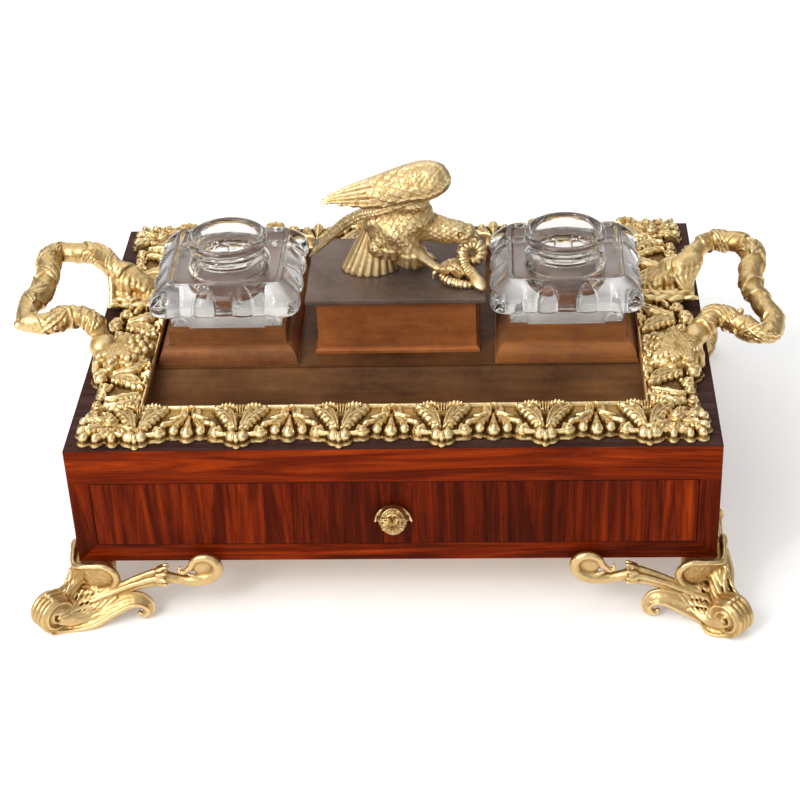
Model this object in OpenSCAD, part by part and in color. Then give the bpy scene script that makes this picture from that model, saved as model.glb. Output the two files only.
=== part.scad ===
// Desk inkstand: a veneered case with one drawer, a scalloped gilt border,
// a bronze tray with two stands and a wafer box, two glass inkwells, a lid
// with an eagle and serpent, two vine handles and four scroll feet.
// Millimetres, +Z up, origin on the table under the middle of the case.
// The front of the case faces -Y.

/* [Case] */
// Width of the case over its veneer
case_w = 300; // [296:1:304]
// Depth of the case over its veneer, front to back
case_d = 208; // [206:1:212]
// Height of the case alone
case_h = 63.2; // [62.8:0.1:64]
// Height of the case's underside above the table
foot_h = 28; // [26:1:32]
// Thickness of the veneer on every outer face
veneer_t = 1; // [0.8:0.1:1.2]
// Thickness of the top board
top_t = 8; // [7:0.5:9]
// Thickness of the case sides
side_t = 8.7; // [8:0.1:9]
// Thickness of the bottom board
bottom_t = 6; // [5:0.5:7]
// Height of the lower front rail, up to the drawer opening
rail_h = 9.5; // [8.5:0.5:10.5]
// Height of the drawer opening
opening_h = 35.4; // [34:0.1:36]

/* [Drawer] */
// Clearance round the drawer front at each side
drawer_gap = 0.5; // [0.3:0.1:0.8]
// Thickness of the drawer front behind its veneer
drawer_front_t = 12; // [10:1:14]
// Thickness of the drawer sides and back
drawer_side_t = 7; // [5:0.5:8]
// Thickness of the drawer bottom panel
drawer_bottom_t = 3; // [2.5:0.5:4]
// Distance from the front face of the case to the back of the drawer
drawer_depth = 190; // [170:1:190]

/* [Knob] */
// Largest diameter of the drawer knob
knob_d = 17.6; // [14:0.1:20]
// How far the knob stands out of the drawer front
knob_proj = 14; // [12:0.5:16]
// Diameter of the stud that holds the knob
stud_d = 4; // [3:0.5:5]

/* [Tray] */
// Half width of the tray inside its walls
tray_half = 117.4; // [116:0.1:118]
// Wall thickness of the bronze casting
bronze_t = 2.2; // [1.8:0.1:2.4]
// Depth of the trough floor below the case top
trough_drop = 9.2; // [8:0.1:9.4]
// Depth of the platform below the case top
platform_drop = 2.2; // [2:0.1:2.4]

/* [Stands and wafer box] */
// Width of each stand at its base
stand_w = 68.8; // [68:0.1:69]
// Width of the block on top of each stand
stand_top_w = 57; // [56:0.5:60]
// Height of each stand above the platform
stand_h = 17.5; // [16:0.5:19]
// Distance of each stand and inkwell from the middle
stand_x = 82; // [81.8:0.1:82.2]
// Width of the wafer box
box_w = 77; // [70:1:80]
// Depth of the wafer box
box_d = 52; // [46:1:54]
// Height of the wafer box above the platform
box_h = 27; // [24:1:30]
// How far the lid slab overhangs the box all round
lid_over = 4.9; // [3:0.1:5]
// Thickness of the lid slab with its moulding
lid_t = 4.9; // [4:0.1:6]

/* [Inkwells] */
// Half width of the inkwell's foot
well_base = 28; // [27:0.5:28.4]
// Half width of the inkwell at its widest
well_wide = 37; // [34:0.5:37]
// Half width of the inkwell's top plate
well_top = 26.4; // [24:0.2:28]
// Height of the inkwell over its neck
well_h = 36.4; // [34:0.2:40]
// Outer radius of the neck at its lip
neck_r = 19.4; // [18:0.1:20]
// Inner radius of the neck
mouth_r = 15.8; // [14:0.1:16.4]

/* [Border] */
// Width of the border casting, from its inner rim to its outer tips
border_w = 28; // [26:0.5:29]
// Height of the plain ground of the border above the case top
ground_h = 3.2; // [2.8:0.1:3.6]
// Height of the inner rim above the case top
rim_h = 5; // [4:0.1:6]
// Distance between two large ornaments along the front
pitch = 46.8; // [46:0.1:47.2]

/* [Handles] */
// Radius of the handles' twisted stem
handle_r = 5.3; // [4.5:0.1:6]
// Height of the handle loop above the case top
handle_rise = 16.8; // [14:0.2:20]

/* [Hidden] */
$fn = 48;

// Case levels and half sizes
zb = foot_h;
zt = foot_h + case_h;
hw = case_w / 2;
hd = case_d / 2;
cw = hw - veneer_t;
cd = hd - veneer_t;
z_under_top = zt - veneer_t - top_t;
z_open = zb + rail_h;
z_open_top = z_open + opening_h;
x_open = cw - side_t;
rail_d = 12;

// Tray opening in the case top, in front of and behind the middle
tray_front = -74.5;
tray_back = 75.5;
slack = 0.6;

// Tray levels
z_trough = zt - trough_drop;
z_plat = zt - platform_drop;
plat_front = -30.5;
plat_back = 41;

// Stand and wafer box centres
stand_y = 4.6;
box_y = 8.5;
z_stand = z_plat + stand_h;
z_box = z_plat + box_h;
z_slab = z_box + lid_t;

// Colours
rosewood = [0.42, 0.13, 0.07];
dark_rosewood = [0.27, 0.15, 0.13];
pine = [0.62, 0.45, 0.28];
mahogany = [0.50, 0.28, 0.16];
bronze = [0.36, 0.22, 0.13];
gilt = [0.83, 0.66, 0.36];
brass = [0.72, 0.58, 0.32];
steel = [0.45, 0.44, 0.42];
crystal = [0.86, 0.89, 0.90, 0.5];

// ---------- helpers ----------

// A box given by its low and high corners
module slab(lo, hi) { translate(lo) cube([hi[0] - lo[0], hi[1] - lo[1], hi[2] - lo[2]]); }

function unit(v) = v / norm(v);
function spline_at(a, b, c, d, t) =
    0.5 * ((2 * b) + (c - a) * t + (2 * a - 5 * b + 4 * c - d) * t * t
           + (3 * b - a - 3 * c + d) * t * t * t);
function spline(P, n) = concat(
    [for (i = [0 : len(P) - 2]) for (k = [0 : n - 1])
        spline_at(P[max(0, i - 1)], P[i], P[i + 1], P[min(len(P) - 1, i + 2)], k / n)],
    [P[len(P) - 1]]);

// A round tube along points P; each point is [x, y, z, radius]
module tube(P, sides) {
    m = len(P);
    c = [for (p = P) [p[0], p[1], p[2]]];
    t = [for (i = [0 : m - 1]) unit(c[min(m - 1, i + 1)] - c[max(0, i - 1)])];
    s = [for (i = [0 : m - 1]) unit(cross(t[i], [0, 0, 1]))];
    u = [for (i = [0 : m - 1]) cross(t[i], s[i])];
    pts = [for (i = [0 : m - 1]) for (k = [0 : sides - 1])
        c[i] + P[i][3] * (cos(360 * k / sides) * s[i] + sin(360 * k / sides) * u[i])];
    side_faces = [for (i = [0 : m - 2]) for (k = [0 : sides - 1])
        [i * sides + k, (i + 1) * sides + k, (i + 1) * sides + (k + 1) % sides,
         i * sides + (k + 1) % sides]];
    cap_a = [[for (k = [0 : sides - 1]) k]];
    cap_b = [[for (k = [sides - 1 : -1 : 0]) (m - 1) * sides + k]];
    polyhedron(points = pts, faces = concat(side_faces, cap_a, cap_b), convexity = 6);
}

// A chain of balls joined one to the next; each point is [x, y, z, radius]
module chain(P, f = 10) {
    for (i = [0 : len(P) - 2]) hull() {
        translate([P[i][0], P[i][1], P[i][2]]) sphere(r = P[i][3], $fn = f);
        translate([P[i + 1][0], P[i + 1][1], P[i + 1][2]]) sphere(r = P[i + 1][3], $fn = f);
    }
}

// A rectangular block with mitred mouldings; prof lists [offset, z] upwards
module moulded(wx, wy, prof) {
    n = len(prof);
    px = concat([for (p = prof) [wx / 2 + p[0], p[1]]],
                [for (i = [n - 1 : -1 : 0]) [-wx / 2 - prof[i][0], prof[i][1]]]);
    py = concat([for (p = prof) [wy / 2 + p[0], p[1]]],
                [for (i = [n - 1 : -1 : 0]) [-wy / 2 - prof[i][0], prof[i][1]]]);
    intersection() {
        rotate([90, 0, 0]) linear_extrude(wy + 90, center = true) polygon(px);
        rotate([90, 0, 90]) linear_extrude(wx + 90, center = true) polygon(py);
    }
}

// ---------- case ----------

function foot_screw_at(sx, sy) = [[sx * (hw - 14), sy * (hd - 26)], [sx * (hw - 30), sy * (hd - 16)]];

module carcass_bottom() color(pine) difference() {
    slab([-x_open, -cd + rail_d, zb], [x_open, cd - 8, zb + bottom_t]);
    for (sx = [-1, 1], sy = [-1, 1], p = foot_screw_at(sx, sy))
        translate([p[0], p[1], zb - 1]) cylinder(d = 3.3, h = 6, $fn = 24);
}
module carcass_left_side() color(pine)
    slab([-cw, -cd, zb], [-x_open, cd, z_under_top]);
module carcass_right_side() color(pine)
    slab([x_open, -cd, zb], [cw, cd, z_under_top]);
module carcass_back() color(pine)
    slab([-x_open, cd - 8, zb], [x_open, cd, z_under_top]);

handle_holes = [[134, -29], [134, 34]];
module carcass_top() color(pine) difference() {
    slab([-cw, -cd, z_under_top], [cw, cd, zt - veneer_t]);
    slab([-tray_half - bronze_t - slack, tray_front - bronze_t - slack, z_under_top - 1],
         [tray_half + bronze_t + slack, tray_back + bronze_t + slack, zt]);
    for (s = [-1, 1], p = handle_holes)
        translate([s * p[0], p[1], z_under_top - 1]) cylinder(d = 4.3, h = top_t + 2, $fn = 32);
}
module front_lower_rail() color(mahogany)
    slab([-x_open, -cd, zb], [x_open, -cd + rail_d, z_open]);
module front_upper_rail() color(mahogany)
    slab([-x_open, -cd, z_open_top], [x_open, -cd + rail_d, z_under_top]);
module drawer_runners() color(mahogany) for (s = [-1, 1])
    slab([s < 0 ? -x_open : x_open - 12, -cd + rail_d, zb + bottom_t],
         [s < 0 ? -x_open + 12 : x_open, cd - 8, z_open]);
module drawer_kickers() color(mahogany) for (s = [-1, 1])
    slab([s < 0 ? -x_open : x_open - 12, -cd + rail_d, z_open_top],
         [s < 0 ? -x_open + 12 : x_open, cd - 8, z_open_top + 5]);
module drawer_stops() color(pine) for (s = [-1, 1])
    slab([s * 100 - 8, -hd + drawer_depth + 0.4, zb + bottom_t], [s * 100 + 8, cd - 8, zb + 20]);

// ---------- veneers ----------

module top_veneer() color(dark_rosewood) difference() {
    slab([-cw, -cd, zt - veneer_t], [cw, cd, zt]);
    slab([-tray_half - bronze_t - slack, tray_front - bronze_t - slack, zt - 4],
         [tray_half + bronze_t + slack, tray_back + bronze_t + slack, zt + 1]);
    for (s = [-1, 1], p = handle_holes)
        translate([s * p[0], p[1], zt - 5]) cylinder(d = 4.3, h = 8, $fn = 32);
}
module front_top_veneer() color(rosewood) slab([-hw, -hd, z_open_top], [hw, -cd, zt]);
module front_bottom_veneer() color(rosewood)
    translate([0, -cd, 0]) rotate([90, 0, 0]) linear_extrude(veneer_t)
        polygon([[-hw, zb], [hw, zb], [x_open, z_open], [-x_open, z_open]]);
module front_stile_veneers() color(rosewood)
    translate([0, -cd, 0]) rotate([90, 0, 0]) for (s = [-1, 1]) linear_extrude(veneer_t)
        polygon([[s * hw, zb], [s * x_open, z_open], [s * x_open, z_open_top], [s * hw, z_open_top]]);
module left_side_veneer() color(rosewood) slab([-hw, -cd, zb], [-cw, cd, zt]);
module right_side_veneer() color(rosewood) slab([cw, -cd, zb], [hw, cd, zt]);
module back_veneer() color(rosewood) slab([-hw, cd, zb], [hw, hd, zt]);

// ---------- drawer ----------

dx = x_open - drawer_gap;
dz0 = z_open + 0.3;
dz1 = z_open_top - 0.4;
dsz = dz1 - 2;
dbz = dz0 + 3;
dy0 = -cd;
dy1 = -cd + drawer_front_t;
dy2 = -hd + drawer_depth;
dsx = dx - 0.4;
knob_z = zb + 27;

// Tails of the drawer side, seen from the side
module tails(grow) for (i = [0, 1]) {
    zc = dz0 + 7.5 + 16.5 * i;
    linear_extrude(drawer_side_t + grow) polygon([
        [dy1 + 0.01, zc - 4.4], [dy1 - 6, zc - 5.8], [dy1 - 6, zc + 5.8], [dy1 + 0.01, zc + 4.4]]);
}
module drawer_front() color(mahogany) difference() {
    slab([-dx, dy0, dz0], [dx, dy1, dz1]);
    for (s = [-1, 1]) translate([s > 0 ? dsx - drawer_side_t : -dsx - 1, 0, 0])
        rotate([90, 0, 90]) tails(1);
    slab([-dsx + 2, dy1 - 3, dbz], [dsx - 2, dy1 + 1, dbz + drawer_bottom_t]);
    translate([0, dy0 - 1, knob_z]) rotate([-90, 0, 0])
        cylinder(d = stud_d + 0.1, h = drawer_front_t + 2, $fn = 32);
}
module drawer_front_veneer() color(rosewood) difference() {
    slab([-dx, -hd, dz0], [dx, -cd, dz1]);
    translate([0, -hd - 1, knob_z]) rotate([-90, 0, 0])
        cylinder(d = stud_d + 0.1, h = 4, $fn = 32);
}
module drawer_side(s) color(pine) difference() {
    union() {
        slab([s > 0 ? dsx - drawer_side_t : -dsx, dy1, dz0],
             [s > 0 ? dsx : -dsx + drawer_side_t, dy2, dsz]);
        translate([s > 0 ? dsx - drawer_side_t : -dsx, 0, 0]) rotate([90, 0, 90]) tails(0);
    }
    slab([s > 0 ? dsx - drawer_side_t - 1 : -dsx + drawer_side_t - 3, dy1 - 10, dbz],
         [s > 0 ? dsx - drawer_side_t + 3 : -dsx + drawer_side_t + 1, dy2 + 1, dbz + drawer_bottom_t]);
}
module drawer_left_side() drawer_side(-1);
module drawer_right_side() drawer_side(1);
module drawer_back() color(pine)
    slab([-dsx + drawer_side_t, dy2 - drawer_side_t, dbz + drawer_bottom_t],
         [dsx - drawer_side_t, dy2, dsz]);
module drawer_bottom() color(pine)
    slab([-dsx + drawer_side_t - 2.8, dy1 - 2.8, dbz],
         [dsx - drawer_side_t + 2.8, dy2, dbz + drawer_bottom_t]);

module on_knob_axis() translate([0, -hd, knob_z]) rotate([90, 0, 0]) children();
module drawer_knob() color(gilt) on_knob_axis() difference() {
    rotate_extrude($fn = 64) polygon(concat([[0, 1.6], [4.4, 1.6], [4, 3.2], [4.6, 4.6]],
        [for (a = [-40 : 10 : 80]) [knob_d / 2 * cos(a), 9 + (knob_proj - 9.2) * sin(a)]],
        [[0, knob_proj]]));
    translate([0, 0, -1]) cylinder(d = stud_d + 0.1, h = 9, $fn = 32);
}
module knob_collar() color(gilt) on_knob_axis() difference() {
    rotate_extrude($fn = 64) polygon([[0, 0], [7.8, 0], [7.8, 0.8], [5.4, 1.5], [0, 1.5]]);
    translate([0, 0, -1]) cylinder(d = stud_d + 0.1, h = 4, $fn = 32);
}
module knob_stud() color(brass) translate([0, -hd - 7.5, knob_z]) rotate([-90, 0, 0])
    cylinder(d = stud_d, h = drawer_front_t + 12.3, $fn = 32);
module knob_nut() color(brass) translate([0, dy1 + 0.05, knob_z]) rotate([-90, 0, 0]) difference() {
    cylinder(d = 9, h = 3, $fn = 6);
    translate([0, 0, -1]) cylinder(d = stud_d + 0.1, h = 5, $fn = 32);
}

// ---------- tray ----------

// Upper surface of the tray from its front wall to its back wall
function trough(y0, y1, s) = concat(
    [for (a = [0 : 15 : 90]) [y0 + s * (4 - 4 * cos(a)), z_trough + 4 - 4 * sin(a)]],
    [for (t = [0 : 0.125 : 1]) [y1 - s * 17 * (1 - t), z_trough + (z_plat - 1 - z_trough) * (1 - cos(90 * t))]],
    [[y1, z_plat]]);
tray_top = concat([[tray_front, zt + bronze_t]], trough(tray_front, plat_front, 1),
    [for (i = [len(trough(tray_back, plat_back, -1)) - 1 : -1 : 0]) trough(tray_back, plat_back, -1)[i]],
    [[tray_back, zt + bronze_t]]);
tray_under = [[tray_back + bronze_t, zt + bronze_t], [tray_back + bronze_t, z_trough - bronze_t],
    [plat_back + 12, z_trough - bronze_t], [plat_back - 1, z_plat - bronze_t - 0.8],
    [plat_front + 1, z_plat - bronze_t - 0.8], [plat_front - 12, z_trough - bronze_t],
    [tray_front - bronze_t, z_trough - bronze_t], [tray_front - bronze_t, zt + bronze_t]];
stand_holes = [-1, 1];
module bronze_tray() color(bronze) difference() {
    union() {
        rotate([90, 0, 90]) linear_extrude(2 * tray_half + 0.02, center = true)
            polygon(concat(tray_top, tray_under));
        for (s = [-1, 1]) slab([s < 0 ? -tray_half - bronze_t : tray_half, tray_front - bronze_t, z_trough - bronze_t],
            [s < 0 ? -tray_half : tray_half + bronze_t, tray_back + bronze_t, zt + bronze_t]);
        difference() {
            slab([-tray_half - 6.6, tray_front - 6.6, zt], [tray_half + 6.6, tray_back + 6.6, zt + bronze_t]);
            slab([-tray_half - 0.5, tray_front - 0.5, zt - 1], [tray_half + 0.5, tray_back + 0.5, zt + 5]);
        }
    }
    for (s = [-1, 1]) translate([s * stand_x, stand_y, z_plat - 6]) cylinder(d = 3.1, h = 8, $fn = 32);
    for (s = [-1, 1]) translate([s * 20, box_y, z_plat - 6]) cylinder(d = 3.1, h = 8, $fn = 32);
}

stand_prof = concat([[0, 0], [0, 1.2]],
    [for (a = [0 : 10 : 90]) [-0.6 - 4.8 * (1 - cos(a)), 1.2 + 7.9 * sin(a)]],
    [[-5.4, 10], [(stand_top_w - stand_w) / 2, 10], [(stand_top_w - stand_w) / 2, stand_h]]);
module stand(s) color(bronze) difference() {
    translate([s * stand_x, stand_y, z_plat]) moulded(stand_w, stand_w, stand_prof);
    translate([s * stand_x, stand_y, z_plat - 1]) cylinder(d = 3.1, h = 10, $fn = 32);
}
module left_stand() stand(-1);
module right_stand() stand(1);
module underside_screw(l) {
    cylinder(d = 3, h = l, $fn = 32);
    translate([0, 0, -2]) cylinder(d = 5.8, h = 2, $fn = 32);
}
module stand_screws() color(steel) for (s = [-1, 1])
    translate([s * stand_x, stand_y, z_plat - bronze_t - 0.85]) underside_screw(11);

// ---------- wafer box and lid ----------

module wafer_box() color(bronze) difference() {
    translate([0, box_y, z_plat]) moulded(box_w, box_d,
        [[1.6, 0], [1.6, 1.4], [0.8, 2.2], [0, 2.6], [0, box_h]]);
    translate([0, box_y, z_plat + 2.6]) linear_extrude(box_h)
        square([box_w - 5, box_d - 5], center = true);
    for (s = [-1, 1]) translate([s * 20, box_y, z_plat - 1]) cylinder(d = 3.1, h = 2.6, $fn = 32);
}
module wafer_box_screws() color(steel) for (s = [-1, 1])
    translate([s * 20, box_y, z_plat - bronze_t - 0.85]) underside_screw(4.4);

lid_prof = [[0.8, 0], [0.8, 0.7], [1.8, 1.0], [lid_over - 0.9, 1.9], [lid_over - 0.9, 2.4],
    [lid_over - 0.2, 2.7], [lid_over, 3.1], [lid_over, lid_t - 0.25], [lid_over - 0.4, lid_t]];
module wafer_lid() color(bronze) difference() {
    union() {
        translate([0, box_y, z_box + 0.05]) moulded(box_w, box_d, [for (p = lid_prof) [p[0], p[1] - (p[1] > 1 ? 0.05 : 0)]]);
        translate([0, box_y, z_box - 3]) linear_extrude(4) difference() {
            square([box_w - 6, box_d - 6], center = true);
            square([box_w - 10, box_d - 10], center = true);
        }
    }
    translate([fig_x, fig_y, z_box - 5]) cylinder(d = 4.1, h = 20, $fn = 32);
}

// ---------- eagle and serpent ----------

fig_x = -2;
fig_y = 8;
module eagle_body() color(gilt) {
    hull() {
        translate([-4, 8, z_slab + 17]) sphere(r = 10.5, $fn = 16);
        translate([6, 7, z_slab + 27]) sphere(r = 11.5, $fn = 16);
        translate([10, 7, z_slab + 37]) sphere(r = 9, $fn = 16);
    }
    // tail fan standing on the slab
    hull() {
        translate([-7, 8, z_slab + 16]) sphere(r = 7, $fn = 12);
        translate([-17, 3, z_slab + 1.5]) rotate([0, 0, 8]) cube([19, 7, 3], center = true);
    }
    // head and beak reaching to the right
    chain([[13, 6, z_slab + 27, 7.5], [22, 4, z_slab + 26, 5.6], [31, 3, z_slab + 24.5, 5], [37, 2.5, z_slab + 21.5, 1.8]], 12);
    // thigh, shank and claw
    chain([[6, 3, z_slab + 17, 7], [11, -1, z_slab + 11, 4], [21, -4, z_slab + 5.5, 2.2], [27, -5, z_slab + 5.4, 3]], 10);
    // second thigh and claw, behind
    chain([[6, 14, z_slab + 16, 6], [10, 15, z_slab + 6, 2.6], [13, 15, z_slab + 2.2, 2.2]], 10);
}
module eagle_near_wing() color(gilt) {
    hull() {
        translate([20, -3.6, z_slab + 54]) rotate([64, 0, 0]) cylinder(r = 8.5, h = 4, $fn = 16, center = true);
        translate([10, -4.6, z_slab + 50]) rotate([64, 0, 0]) cylinder(r = 11, h = 4.6, $fn = 16, center = true);
        translate([-12, -4.2, z_slab + 46]) rotate([64, 0, 0]) cylinder(r = 7, h = 2.6, $fn = 12, center = true);
    }
    hull() {
        translate([-12, -4.2, z_slab + 46]) rotate([64, 0, 0]) cylinder(r = 7, h = 2.6, $fn = 12, center = true);
        translate([-34, -1, z_slab + 41]) rotate([64, 0, 0]) cylinder(r = 1.5, h = 1.6, $fn = 10, center = true);
    }
}
module eagle_far_wing() color(gilt) {
    hull() {
        translate([10, 18.6, z_slab + 38]) rotate([100, 0, 0]) cylinder(r = 9, h = 3.4, $fn = 16, center = true);
        translate([-8, 19.6, z_slab + 29]) rotate([100, 0, 0]) cylinder(r = 8, h = 2.4, $fn = 12, center = true);
    }
    hull() {
        translate([-8, 19.6, z_slab + 29]) rotate([100, 0, 0]) cylinder(r = 8, h = 2.4, $fn = 12, center = true);
        translate([-40, 24, z_slab + 3]) rotate([100, 0, 0]) cylinder(r = 2, h = 1.6, $fn = 10, center = true);
    }
}
// Route of the serpent, from its head over the lid's corner to the eagle's beak
serpent_path = [[42, -17.5, 2.6, 1.9], [38, -15, 3.2, 2.5], [33, -12, 2.8, 2.1], [28, -10.5, 2.2, 2.1],
    [23.5, -7, 2.2, 2.1], [24, -1.5, 2.2, 2.1], [29, 1.5, 2.3, 2.2], [34, 4, 2.6, 2.3], [40, 5, 4.6, 2.4],
    [41.8, 5.4, 10, 2.3], [38, 6, 15.2, 2.2], [33.4, 6, 12.8, 2.1], [32.2, 6.4, 8.4, 2],
    [36, 7.6, 5.4, 1.9], [40.4, 9.6, 7.6, 1.8], [41.4, 7.2, 14, 1.7], [39.4, 4, 19.4, 1.6], [36.4, 2.8, 22.6, 1.6]];
module serpent() color(gilt)
    chain([for (p = spline(serpent_path, 2)) [p[0], p[1], z_slab + p[2], p[3]]], 8);

module figure_stud() color(brass) translate([fig_x, fig_y, z_box - 4])
    cylinder(d = 4, h = lid_t + 12, $fn = 32);
module figure_nut() color(brass) translate([fig_x, fig_y, z_box - 3.2]) difference() {
    cylinder(d = 8.5, h = 3.2, $fn = 6);
    translate([0, 0, -1]) cylinder(d = 4.1, h = 6, $fn = 32);
}

// ---------- border ----------

rim_x = tray_half - 0.8;
rim_f = tray_front + 0.8;
rim_b = tray_back - 0.8;
z_ground = zt + ground_h;

// One large leaf ornament: u runs along the border, v outwards from the rim
module large_ornament() {
    for (s = [-1, 1]) {
        hull() {
            translate([s * 8.5, 5.5, 0]) cylinder(r1 = 3.6, r2 = 1.4, h = 4.6, $fn = 6);
            translate([s * 2.6, 17, 0]) cylinder(r1 = 3, r2 = 1, h = 3.6, $fn = 6);
        }
        translate([s * 9, 21.5, -1]) cylinder(r1 = 3.4, r2 = 1.4, h = 3.6, $fn = 6);
    }
    translate([0, 24.4, -1]) cylinder(r1 = 3.6, r2 = 1.6, h = 3.8, $fn = 6);
}
module small_ornament() {
    hull() {
        translate([0, 5, 0]) cylinder(r1 = 3, r2 = 1.4, h = 3, $fn = 6);
        translate([0, 19, 0]) cylinder(r1 = 5.4, r2 = 2.4, h = 3, $fn = 6);
    }
    translate([0, 21.6, -1]) cylinder(r1 = 3, r2 = 1.2, h = 3.4, $fn = 6);
}
module along_border() {
    for (i = [-2.5 : 1 : 2.5], s = [-1, 1])
        translate([i * pitch, s > 0 ? rim_b : rim_f, z_ground - 0.5]) mirror([0, s > 0 ? 0 : 1, 0]) large_ornament();
    for (i = [-2 : 2], s = [-1, 1])
        translate([i * pitch, s > 0 ? rim_b : rim_f, z_ground - 0.5]) mirror([0, s > 0 ? 0 : 1, 0]) small_ornament();
    for (i = [-1 : 1], s = [-1, 1])
        translate([s * rim_x, i * 47, z_ground - 0.5]) rotate([0, 0, -s * 90]) large_ornament();
    for (i = [-0.5, 0.5], s = [-1, 1])
        translate([s * rim_x, i * 47, z_ground - 0.5]) rotate([0, 0, -s * 90]) small_ornament();
    for (sx = [-1, 1], sy = [-1, 1]) translate([sx * 134, sy * 88, z_ground - 0.5])
        for (a = [45 : 90 : 315]) rotate(a) translate([6, 0, 0]) cylinder(r1 = 4.2, r2 = 1.8, h = 4, $fn = 6);
}
module border_outline() {
    square([2 * (rim_x + border_w - 6), 2 * (-rim_f + border_w - 6)], center = true);
    for (i = [-2.5 : 1 : 2.5], s = [-1, 1], k = [-1, 0, 1])
        translate([i * pitch + k * 8.6, s * (-rim_f + border_w - 4.6 - abs(k) * 2)]) circle(r = 4.4 - abs(k), $fn = 12);
    for (i = [-2 : 2], s = [-1, 1])
        translate([i * pitch, s * (-rim_f + border_w - 6.6)]) circle(r = 4.4, $fn = 12);
    for (i = [-1 : 1], s = [-1, 1], k = [-1, 0, 1])
        translate([s * (rim_x + border_w - 4.6 - abs(k) * 2), i * 47 + k * 8.6]) circle(r = 4.4 - abs(k), $fn = 12);
    for (i = [-0.5, 0.5], s = [-1, 1])
        translate([s * (rim_x + border_w - 6.6), i * 47]) circle(r = 4.4, $fn = 12);
    for (sx = [-1, 1], sy = [-1, 1], p = [[134, 96.5], [140.5, 89]])
        translate([sx * p[0], sy * p[1]]) circle(r = 4.6, $fn = 12);
}
module border() color(gilt) difference() {
    union() {
        translate([0, 0, zt]) linear_extrude(ground_h) border_outline();
        along_border();
        slab([-rim_x - 2, rim_f - 2, zt + 1], [rim_x + 2, rim_b + 2, zt + rim_h]);
    }
    slab([-rim_x, rim_f, zt - 1], [rim_x, rim_b, zt + 20]);
    slab([-tray_half - 7, tray_front - 7, zt - 1], [tray_half + 7, tray_back + 7, zt + bronze_t + 0.05]);
}
border_screw_at = [[-128, -84], [128, -84], [-128, 84], [128, 84], [0, -87], [0, 88], [-127, 0], [127, 0]];
module border_screws() color(brass) for (p = border_screw_at) translate([p[0], p[1], 0]) {
    translate([0, 0, z_under_top + 1]) cylinder(r = 0.9, h = top_t + 1, $fn = 24);
    translate([0, 0, z_ground - 2.8]) cylinder(r = 1.4, h = 3, $fn = 24);
}

// ---------- handles ----------

hz = zt + handle_rise;
// Route of the right handle, from the leaf head in front round to the root behind;
// the fourth value is the radius and the fifth tells how far the front drops
handle_route = [[133, -30, -10.5, 6.5], [141, -22, -7, 6.2], [150, -13.5, -2, 5.4], [159, -11, 0, 5.3],
    [168, -14, 0, 5.2], [176, -18.5, 0, 5.2], [183.4, -18, 0, 5.4], [185, -10, 0, 5.4],
    [183, 2, 0, 5.2], [180.6, 15, 0, 5.2], [181, 30, 0, 5.2], [183.6, 40, 0, 5.4],
    [184, 47.5, 0, 5.6], [177.5, 51, 0, 5.4], [169, 54, 0, 5.2], [160, 52.6, -0.4, 5.3],
    [152, 46, -2, 5.6], [146, 39.5, -5, 6.2], [139, 33, -10.5, 6.6]];
module handle(s, drop) color(gilt) difference() {
    union() {
        tube([for (p = spline(handle_route, 2)) [s * p[0], p[1],
            hz + p[2] - drop * max(0, min(1, (40 - p[1]) / 60)) * (p[0] > 146 ? 1 : 0.3), p[3] * handle_r / 5.3]], 12);
        // leaf head in front and bark root behind, both lying on the border
        translate([s * 134, -29, z_ground]) scale([1, 1, 1]) hull() {
            translate([0, 2, 1]) cylinder(r1 = 13, r2 = 10, h = 3, $fn = 16);
            translate([0, 0, 4]) cylinder(r1 = 8, r2 = 4, h = 4.5, $fn = 12);
        }
        translate([s * 138, 34, z_ground]) hull() {
            translate([0, 0, 1]) cylinder(r1 = 9.5, r2 = 8, h = 3, $fn = 16);
            translate([s * 3, 2, 4]) cylinder(r1 = 7, r2 = 4, h = 4, $fn = 12);
        }
    }
    // nothing of it goes below the top veneer's face
    slab([-hw - 60, -hd, zt - 30], [hw + 60, hd, zt + 0.02]);
}
module left_handle() handle(-1, 0);
module right_handle() handle(1, 7);
module handle_studs() color(brass) for (s = [-1, 1], p = handle_holes)
    translate([s * p[0], p[1], z_under_top - 4]) cylinder(d = 4, h = top_t + veneer_t + ground_h + 7, $fn = 32);
module handle_nuts() color(brass) for (s = [-1, 1], p = handle_holes)
    translate([s * p[0], p[1], z_under_top - 3.05]) difference() {
        cylinder(d = 8.5, h = 3, $fn = 6);
        translate([0, 0, -1]) cylinder(d = 4.1, h = 5, $fn = 32);
    }

// ---------- inkwells ----------

wz = z_stand + 0.05;
// Half width of the glass at each height
well_prof = [[well_base - 0.6, 0], [well_base, 0.6], [well_base, 7.6], [well_base + 2, 9],
    [well_wide - 1.4, 10.6], [well_wide, 12.6], [well_wide, 16], [well_wide - 1.6, 18.4],
    [well_top + 2.2, 24.4], [well_top + 1.6, 25.2], [well_top + 0.6, 25.2], [well_top, 24.8]];
module inkwell(s) color(crystal) translate([s * stand_x, stand_y, wz]) difference() {
    union() {
        moulded(0, 0, well_prof);
        rotate_extrude($fn = 96) polygon([[0, 20], [16.6, 20], [16.6, 26], [17.2, 28.5],
            [neck_r - 0.5, 31.5], [neck_r, 33], [neck_r, well_h - 1.4], [neck_r - 1.2, well_h - 0.2],
            [neck_r - 2, well_h], [0, well_h]]);
    }
    rotate_extrude($fn = 96) polygon(concat([[0, 5.4], [14, 5.4], [18, 6.8], [20, 9.4],
        [20.4, 14], [19.4, 19], [16.6, 22.6], [mouth_r - 1.2, 25], [mouth_r - 0.6, 29]],
        [[mouth_r, 33], [mouth_r + 1, well_h + 0.01], [mouth_r + 1, well_h + 1], [0, well_h + 1]]));
}
module left_inkwell() inkwell(-1);
module right_inkwell() inkwell(1);

// ---------- feet ----------

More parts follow.
